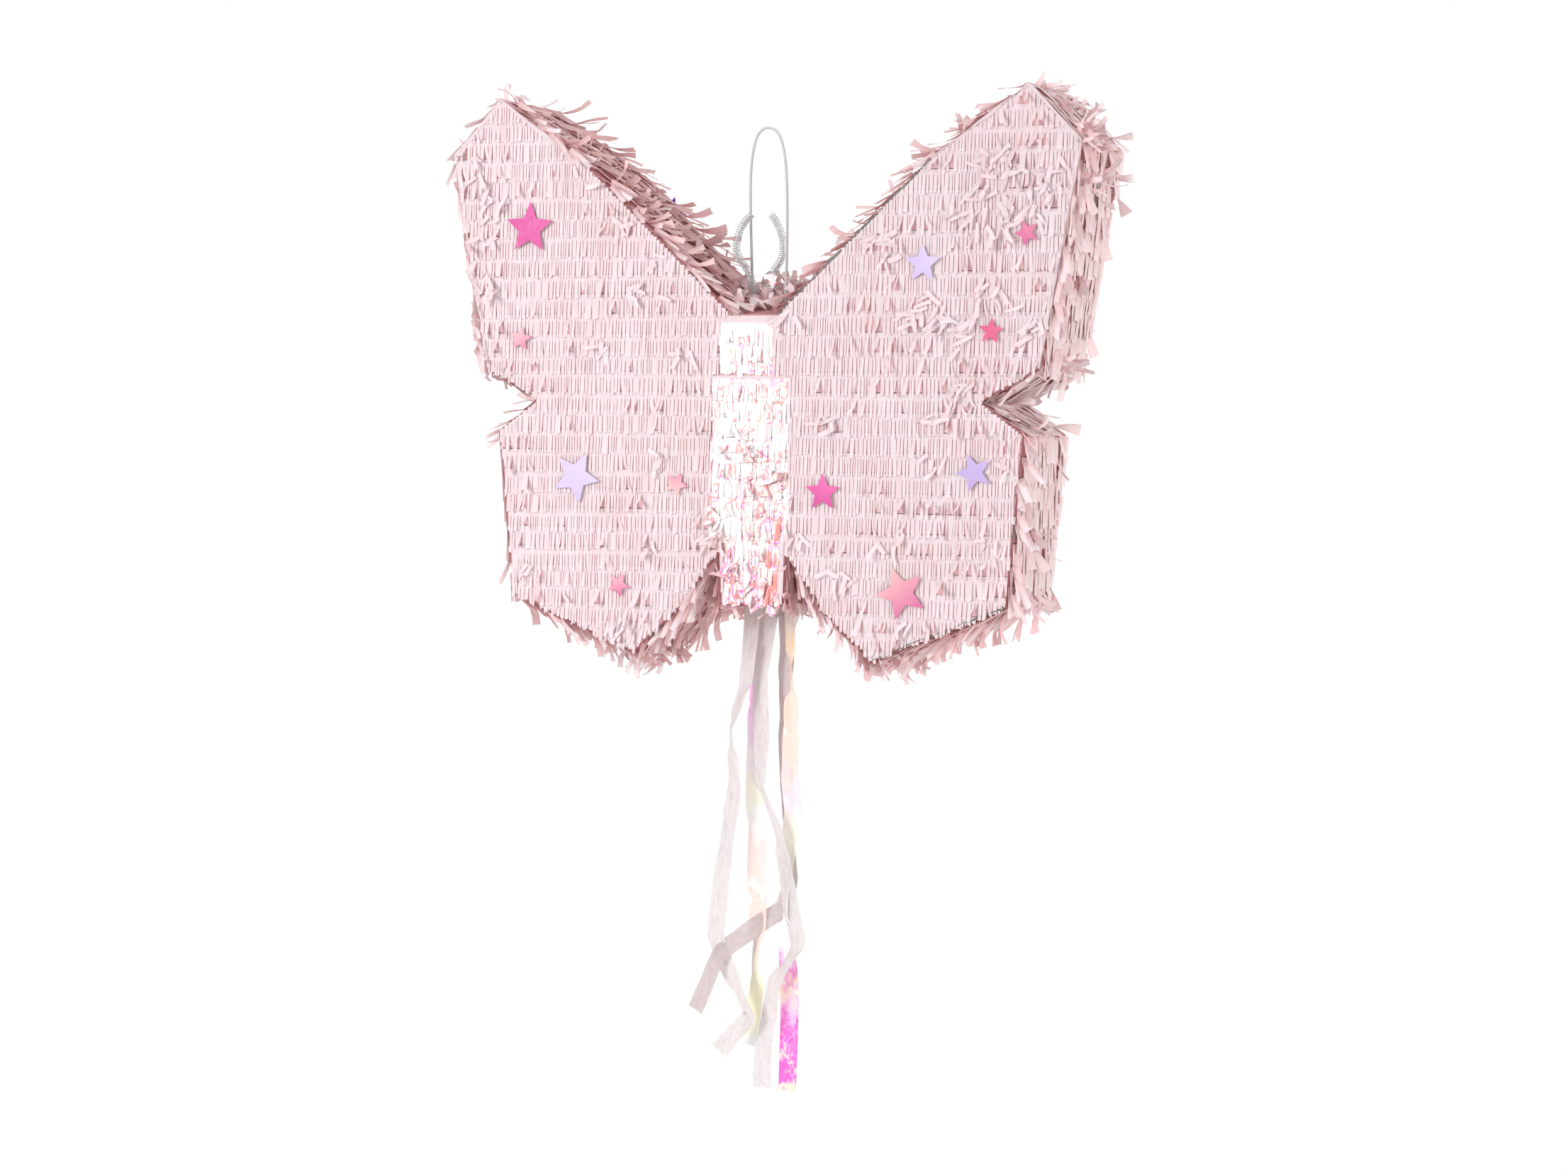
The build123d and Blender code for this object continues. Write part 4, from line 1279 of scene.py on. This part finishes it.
def tube_along(name, line, radius, sides, ridge, twist):
    """A closed tube along a line of points. Its three ridges, a share of the radius deep, wind round it."""
    points = [Vector(p) for p in line]
    ahead, behind = points[1:] + points[-1:], points[:1] + points[:-1]
    tangents = [(b - a).normalized() for a, b in zip(behind, ahead)]
    side = tangents[0].orthogonal().normalized()
    travelled, rings = 0.0, []
    for i, (point, tangent) in enumerate(zip(points, tangents)):
        side = (side - tangent * side.dot(tangent)).normalized()
        other = tangent.cross(side)
        if i:
            travelled += (point - points[i - 1]).length
        ring = []
        for k in range(sides + 1):
            angle = 2 * math.pi * k / sides
            reach = radius * (1 - ridge * (0.5 + 0.5 * math.cos(3 * (angle + twist * travelled))))
            ring.append(point + (side * math.cos(angle) + other * math.sin(angle)) * reach)
        rings.append(ring)
    grid = np.array([[[list(p) for p in ring] for ring in rings]])
    uv = np.zeros((1, len(rings), sides + 1, 2))
    uv[0, :, :, 0] = np.linspace(0, 1, len(rings))[:, None]
    uv[0, :, :, 1] = np.linspace(0, 1, sides + 1)[None]
    piece = grid_mesh(name, grid, uv=uv)
    use_only(piece)
    bpy.ops.object.mode_set(mode="EDIT")
    bpy.ops.mesh.select_all(action="SELECT")
    bpy.ops.mesh.remove_doubles(threshold=1e-6)
    bpy.ops.mesh.fill_holes(sides=0)
    bpy.ops.mesh.select_all(action="SELECT")
    bpy.ops.mesh.normals_make_consistent(inside=False)
    bpy.ops.object.mode_set(mode="OBJECT")
    return piece


def spline_line(points, name):
    """Points read from a smooth open spline through a route."""
    curve = bpy.data.curves.new(name, "CURVE")
    curve.dimensions = "3D"
    spline = curve.splines.new("NURBS")
    spline.points.add(len(points) - 1)
    for target, point in zip(spline.points, points):
        target.co = (*point, 1.0)
    spline.order_u = 3
    spline.use_endpoint_u = True
    spline.resolution_u = 24
    item = bpy.data.objects.new(name, curve)
    mesh = bpy.data.meshes.new_from_object(item)
    line = [v.co.copy() for v in mesh.vertices]
    bpy.data.objects.remove(item)
    bpy.data.meshes.remove(mesh)
    bpy.data.curves.remove(curve)
    return line


def even(line, step):
    """The same line with points an even step apart."""
    line = np.array([list(p) for p in line])
    gaps = np.linalg.norm(np.diff(line, axis=0), axis=1)
    travelled = np.concatenate([[0], np.cumsum(gaps)])
    stations = np.linspace(0, travelled[-1], max(2, int(travelled[-1] / step)))
    return np.stack([np.interp(stations, travelled, line[:, k]) for k in range(3)], -1), travelled[-1]


class PINATA_OT_loop(bpy.types.Operator):
    """Runs the cord of the hanging loop between its two holes"""
    bl_idname = "pinata.loop"
    bl_label = "Hanging Loop"

    def execute(self, context):
        loop = context.scene.pinata_loop
        line = spline_line([place(*p) for p in LOOP_ROUTE], "loop_line")
        points, size = even(line, 0.0007)
        piece = tube_along("hanging_cord", points, loop.diameter / 2, 12, ridge=0.16, twist=900.0)
        settle(piece, cord_finish(loop.cord), "box", "loop_cord", "hanging_loop")
        return {"FINISHED"}


# The antennae's wire, from one tip to the fold and up to the other, as X and Z from the notch
ANTENNA_DEPTH = -12.0
ANTENNA_FOLD = 5
FOLD_RADIUS = 3.1 * MM
WIRE_RADIUS = 0.5 * MM
BRISTLE_START = 0.4 * MM
TURN_PITCH = 1.6 * MM
BRISTLES_PER_TURN = 26
ANTENNA_ROUTE = [
    (-17.0, 65.5), (-23.5, 59.5), (-28.0, 49.0), (-28.5, 39.0), (-19.0, 27.0), (-9.5, 0.0),
    (-1.5, 25.0), (7.0, 36.0), (7.0, 48.0), (3.0, 58.0), (-2.0, 65.5),
]


class PINATA_OT_antennae(bpy.types.Operator):
    """Winds the bristles of the antennae round their wire"""
    bl_idname = "pinata.antennae"
    bl_label = "Antennae"

    def execute(self, context):
        loop, rng = context.scene.pinata_loop, np.random.default_rng(31)
        line = self.centreline()
        points, size = even(line, 0.0001)
        tangents = np.gradient(points, axis=0)
        tangents /= np.linalg.norm(tangents, axis=1)[:, None]
        grids = []
        runs, half_widths = (0.0, 0.6, 1.0), (0.00008, 0.00024, 0.00030)
        count = int(size / TURN_PITCH * BRISTLES_PER_TURN)
        normal = np.array((0.0, 1.0, 0.0))
        for k in range(count):
            i = min(int((k + 0.5) / count * len(points)), len(points) - 1)
            t = tangents[i]
            other = np.cross(t, normal)
            angle = 2 * math.pi * k / BRISTLES_PER_TURN + rng.normal(0, 0.05)
            way = normal * math.cos(angle) + other * math.sin(angle) + t * rng.normal(0, 0.06)
            way /= np.linalg.norm(way)
            reach = loop.bristle * rng.uniform(0.9, 1.03)
            flat = np.cross(way, t)
            flat /= np.linalg.norm(flat)
            spread = flat * 0.55 + t * 0.83
            stations = [points[i] + way * (BRISTLE_START + (reach - BRISTLE_START) * run) for run in runs]
            grids.append([[spot - spread * w, spot + spread * w] for spot, w in zip(stations, half_widths)])
        piece = grid_mesh("antenna_bristles", np.array(grids), {"run": np.array(runs)[None, :, None]})
        settle(piece, tinsel_finish(loop.tinsel), "box", "clear_tinsel", "antenna_tinsel")
        return {"FINISHED"}

    def centreline(self):
        """The middle of the wire: its route with round corners, set down on the wire's lowest point."""
        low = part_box("antenna_wire")[0]
        route = [place(x, ANTENNA_DEPTH, z) for x, z in ANTENNA_ROUTE]
        line = [route[0]]
        for i, point in enumerate(route[1:-1], 1):
            before, after = route[i - 1] - point, route[i + 1] - point
            turn = math.pi - before.angle(after)
            radius = 0.45 * min(before.length, after.length) / math.tan(turn / 2)
            if i == ANTENNA_FOLD:
                radius = FOLD_RADIUS
            back = radius * math.tan(turn / 2)
            before.normalize()
            after.normalize()
            a, b = point + before * back, point + after * back
            centre = point + (before + after).normalized() * (radius / math.cos(turn / 2))
            for step in range(9):
                way = (a - centre).normalized().slerp((b - centre).normalized(), step / 8)
                line.append(centre + way * radius)
        line.append(route[-1])
        shift = low.z + WIRE_RADIUS - min(p.z for p in line)
        return [p + Vector((0, 0, shift)) for p in line]


# Streamers: route in millimetres from the notch as X, Z, Y and quarter turns
RIBBON_STEP = 1.6 * MM
RIBBON_COLUMNS = 11
STREAMERS = {
    "left_tissue_streamer": [
        (-17, -197, -3, 0.0), (-17.8, -206, -3, 0.1), (-18.6, -226, -4, 0.2), (-20.6, -250, -5, 0.5),
        (-32.6, -288, -5, 0.75), (-30.5, -310, -5, 0.35), (-29.5, -332, -5, 0.2), (-34.6, -365, -5, 0.35),
        (-39.0, -402, -6, 0.2), (-41.9, -434, -7, 0.1), (-31.9, -456, -8, 0.1), (-22.0, -475, -8, 0.1),
        (-15.0, -489, -7, 0.5), (-27.6, -503, -6, 0.2), (-39.5, -516, -5, 0.0),
    ],
    "long_tissue_streamer": [
        (-3, -197, -1, 0.0), (-6, -211, -1, 0.1), (-12.2, -248, -1, 0.1), (-10.9, -275, -1, 0.2),
        (-10.7, -300, -1, 0.1), (-12.3, -325, -1, 0.3), (-5.2, -340, -1, 0.7), (1.4, -355, -1, 0.6),
        (7.0, -380, 0, 0.3), (12.6, -409, 0, 0.2), (17.6, -437, 0, 0.1), (11.4, -449, -1, 0.6),
        (0.4, -466, -1, 0.2), (-3.6, -491, -1, 0.1), (-7.8, -513, 0, 0.1), (-8.5, -540, 0, 0.0),
    ],
    "right_film_streamer": [
        (12, -197, 2, 0.2), (9.0, -215, 2, 0.5), (9.1, -228, 2, 0.85), (8.8, -240, 3, 0.3),
        (10.3, -262, 3, 0.1), (9.8, -294, 3, 0.0), (9.6, -321, 3, 0.1), (12.6, -345, 3, 0.3),
        (10.5, -360, 3, 0.7), (7.5, -381, 3, 0.2), (6.3, -430, 4, 0.0), (10.1, -462, 4, 0.0),
        (10.4, -503, 4, 0.0), (9.2, -542, 4, 0.0),
    ],
    "left_film_streamer": [
        (-11, -197, 5, 0.1), (-17.5, -255, 6, 0.1), (-18.4, -300, 6, 0.3), (-18.6, -341, 6, 0.1),
        (-15.7, -356, 6, 0.0), (-16.5, -388, 6, 0.0), (-15.2, -406, 6, 0.0), (-15.0, -430, 6, 0.2),
        (-17.4, -455, 6, 0.7), (-15.6, -472, 6, 0.3), (-20.6, -512, 6, 0.4),
    ],
    "short_tissue_streamer": [
        (3, -197, 9, 0.0), (4, -230, 9, 0.1), (2, -261, 9, 0.5), (5, -331, 9, 0.3), (9, -391, 9, 0.3),
        (2.6, -414, 9, 0.4), (-16.8, -428, 3, 0.2), (-37.2, -446, -11, 0.0), (-46.4, -467, -11, 0.2),
        (-55.0, -487, -11, 0.1),
    ],
}


class PINATA_OT_streamers(bpy.types.Operator):
    """Hangs the crumpled tissue and film streamers under the abdomen"""
    bl_idname = "pinata.streamers"
    bl_label = "Streamers"

    def execute(self, context):
        streamers = context.scene.pinata_streamers
        tissue = streamer_tissue_finish("streamer_tissue", streamers.tissue)
        # Painted shade: a darker copy of the streamer tissue for the short streamer, which lies in shade.
        shaded = streamer_tissue_finish("shaded_short_streamer_tissue", scaled(streamers.tissue, 0.84, 0.77, 0.77))
        pale, peach, rose = (0.95, 0.93, 0.92), (0.95, 0.72, 0.57), (0.94, 0.70, 0.66)
        magenta = (0.86, 0.085, 0.58)
        finishes = {
            "right_film_streamer": streamer_film_finish("streamer_film_right", [
                (0.0, pale), (0.08, (0.95, 0.78, 0.55)), (0.13, peach), (0.34, (0.95, 0.70, 0.62)),
                (0.40, (0.94, 0.72, 0.84)), (0.47, (0.92, 0.90, 0.74)), (0.70, (0.93, 0.90, 0.92)),
                (0.75, magenta), (0.79, peach), (0.83, (0.92, 0.45, 0.72)), (0.86, magenta),
                (0.92, magenta), (0.935, peach), (0.95, magenta), (0.985, magenta), (1.0, peach)]),
            "left_film_streamer": streamer_film_finish("streamer_film_left", [
                (0.0, pale), (0.20, (0.9, 0.42, 0.80)), (0.33, (0.93, 0.75, 0.90)),
                (0.42, (0.93, 0.90, 0.70)),
                (0.50, pale), (0.55, rose), (0.62, rose), (0.645, pale), (0.67, (0.95, 0.66, 0.58)),
                (0.76, rose), (0.82, (0.93, 0.85, 0.60)), (0.93, (0.90, 0.86, 0.52)), (1.0, pale)]),
        }
        for seed, (node, route) in enumerate(STREAMERS.items()):
            is_film = node in finishes
            width = streamers.film_width if is_film else streamers.tissue_width
            piece, size = self.ribbon(node.replace("_streamer", "_ribbon"), route, width, seed, is_film)
            slot = "streamer_film" if is_film else "streamer_tissue"
            usual = shaded if node == "short_tissue_streamer" else tissue
            settle(piece, finishes.get(node, usual), "tail", slot, node)
        return {"FINISHED"}

    def ribbon(self, name, route, width, seed, is_film):
        """A ribbon along its route, turned, pleated and crumpled."""
        noise = waver(50 + seed)
        line, turns = [], []
        keys = [(place(x, y, z), turn) for x, z, y, turn in route]
        for i in range(len(keys) - 1):
            p = [keys[max(i - 1, 0)], keys[i], keys[i + 1], keys[min(i + 2, len(keys) - 1)]]
            for t in np.linspace(0, 1, 12, endpoint=False):
                curved = self.through([k[0] for k in p], t)
                line.append(curved.lerp(keys[i][0].lerp(keys[i + 1][0], t), 0.75))
                step = min(1.0, max(0.0, (t - 0.25) * 2))
                turns.append(keys[i][1] + (keys[i + 1][1] - keys[i][1]) * (3 * step * step - 2 * step ** 3))
        line.append(keys[-1][0])
        turns.append(keys[-1][1])
        points, size = even(line, RIBBON_STEP)
        rows = len(points)
        turns = np.interp(np.linspace(0, 1, rows), np.linspace(0, 1, len(turns)), turns) * math.pi / 2
        tangents = np.gradient(points, axis=0)
        tangents /= np.linalg.norm(tangents, axis=1)[:, None]
        columns = RIBBON_COLUMNS
        grid = np.zeros((1, rows, columns, 3))
        ahead = np.array((0.0, -1.0, 0.0))
        for i in range(rows):
            t = tangents[i]
            normal = ahead - t * ahead.dot(t)
            normal /= np.linalg.norm(normal)
            side = np.cross(normal, t)
            turn = 0.8 * turns[i]
            flat = side * math.cos(turn) + normal * math.sin(turn)
            up = normal * math.cos(turn) - side * math.sin(turn)
            s = i * RIBBON_STEP
            pleat = 0.4 + 0.25 * noise(s, 0.3, 0.3)
            for j in range(columns):
                u = j / (columns - 1) - 0.5
                fold = pleat * 0.0012 * math.cos(math.pi * (1.3 * u + noise(s, 1.0, 0.4)))
                crease = 0.0004 * noise(s, u * 0.012, 0.06) + 0.00015 * noise(s + 3, u * 0.02, 0.03)
                crease *= 0.5 if is_film else 1.0
                squeeze = 1 - 0.04 * pleat
                grid[0, i, j] = points[i] + flat * u * width * squeeze + up * (fold + crease)
        uv = np.zeros((1, rows, columns, 2))
        uv[0, :, :, 0] = np.linspace(0, width / 0.02, columns)[None]
        uv[0, :, :, 1] = np.linspace(0, 1, rows)[:, None]
        return grid_mesh(name, grid, uv=uv), size

    def through(self, p, t):
        """A point on a smooth curve through four points, between the middle two."""
        return 0.5 * ((2 * p[1]) + (p[2] - p[0]) * t + (2 * p[0] - 5 * p[1] + 4 * p[2] - p[3]) * t * t
                      + (3 * p[1] - p[0] - 3 * p[2] + p[3]) * t ** 3)


# Round lamps: offset from just over the middle, diameter and power
LIGHTS = (
    ("key", (-1.35, -1.8, 0.5), 1.1, 39),
    ("fill", (1.6, -1.9, 0.2), 1.8, 11),
    ("side", (2.2, -0.3, 0.3), 1.6, 30),
    ("rear", (-0.9, 2.3, 0.6), 1.8, 46),
    ("over", (0.2, 0.0, 1.7), 1.6, 8),
    ("low", (0.3, -0.9, -0.75), 0.8, 1.2),
)
CAMERA_LENS, CAMERA_SENSOR, CAMERA_ROLL = 73.93, 36.0, 0.0095
CAMERA_PLACE = (0.8656, -2.0601, -0.203)
CAMERA_AIM = (0.026, -0.0265, -0.316)


class PINATA_OT_stage(bpy.types.Operator):
    """Sets the pale floor, the soft light and the camera"""
    bl_idname = "pinata.stage"
    bl_label = "Stage"

    def execute(self, context):
        stage, scene = context.scene.pinata_stage, context.scene
        deselect()
        bpy.ops.mesh.primitive_circle_add(vertices=96, radius=stage.floor_radius, fill_type="NGON",
                                          location=(0, 0, CAD_BOX[0].z - stage.floor_drop))
        floor = bpy.context.object
        floor.name = "floor"
        made = Finish("floor_paper", Roughness=0.9)
        made.paint(Base_Color=made.blend(made.noise(3, detail=2), stage.floor, scaled(stage.floor, 0.985)))
        floor.data.materials.append(made.material)
        for name, where, size, power in LIGHTS:
            self.light(name, where, size, power)
        world = bpy.data.worlds.new("studio")
        world.use_nodes = True
        tree = world.node_tree
        back = tree.nodes["Background"]
        back.inputs["Color"].default_value = (1, 1, 1, 1)
        back.inputs["Strength"].default_value = stage.ambient
        seen = tree.nodes.new("ShaderNodeBackground")
        seen.inputs["Color"].default_value = (1, 1, 1, 1)
        path = tree.nodes.new("ShaderNodeLightPath")
        mixed = tree.nodes.new("ShaderNodeMixShader")
        tree.links.new(path.outputs["Is Camera Ray"], mixed.inputs[0])
        tree.links.new(back.outputs[0], mixed.inputs[1])
        tree.links.new(seen.outputs[0], mixed.inputs[2])
        tree.links.new(mixed.outputs[0], tree.nodes["World Output"].inputs["Surface"])
        scene.world = world
        scene.view_settings.view_transform = "Standard"
        camera = bpy.data.objects.new("camera", bpy.data.cameras.new("camera"))
        scene.collection.objects.link(camera)
        camera.data.lens = CAMERA_LENS
        camera.data.sensor_width = CAMERA_SENSOR
        camera.location = CAMERA_PLACE
        aim = (Vector(CAMERA_AIM) - camera.location).to_track_quat("-Z", "Y")
        camera.rotation_mode = "QUATERNION"
        camera.rotation_quaternion = aim @ Matrix.Rotation(CAMERA_ROLL, 4, "Z").to_quaternion()
        scene.camera = camera
        return {"FINISHED"}

    def light(self, name, where, size, power):
        data = bpy.data.lights.new(name, "AREA")
        data.shape, data.size, data.energy = "DISK", size, power
        lamp = bpy.data.objects.new(name, data)
        bpy.context.scene.collection.objects.link(lamp)
        middle = (CAD_BOX[0] + CAD_BOX[1]) / 2 + Vector((0, 0, 0.1))
        lamp.location = middle + Vector(where)
        lamp.rotation_mode = "QUATERNION"
        lamp.rotation_quaternion = (-Vector(where)).to_track_quat("-Z", "Y")


OPERATORS = (PINATA_OT_stage, PINATA_OT_loop, PINATA_OT_card, PINATA_OT_faces, PINATA_OT_walls,
             PINATA_OT_edges, PINATA_OT_film, PINATA_OT_stars, PINATA_OT_antennae, PINATA_OT_streamers)


class PINATA_PT_panel(bpy.types.Panel):
    """Lists the pinata's pieces and their settings"""
    bl_label = "Pinata"
    bl_idname = "PINATA_PT_panel"
    bl_space_type = "VIEW_3D"
    bl_region_type = "UI"
    bl_category = "Pinata"

    def draw(self, context):
        for operator in OPERATORS:
            self.layout.operator(operator.bl_idname)
        for group in GROUPS:
            box = self.layout.box()
            values = getattr(context.scene, setting_name(group))
            for key in group.__annotations__:
                box.prop(values, key)


CLASSES = (*GROUPS, *OPERATORS, PINATA_PT_panel)


def register():
    for item in CLASSES:
        bpy.utils.register_class(item)
    for group in GROUPS:
        setattr(bpy.types.Scene, setting_name(group), PointerProperty(type=group))


def unregister():
    for group in GROUPS:
        delattr(bpy.types.Scene, setting_name(group))
    for item in reversed(CLASSES):
        bpy.utils.unregister_class(item)


def main():
    register()
    for operator in OPERATORS:
        group, name = operator.bl_idname.split(".")
        getattr(getattr(bpy.ops, group), name)()


if __name__ == "__main__":
    main()
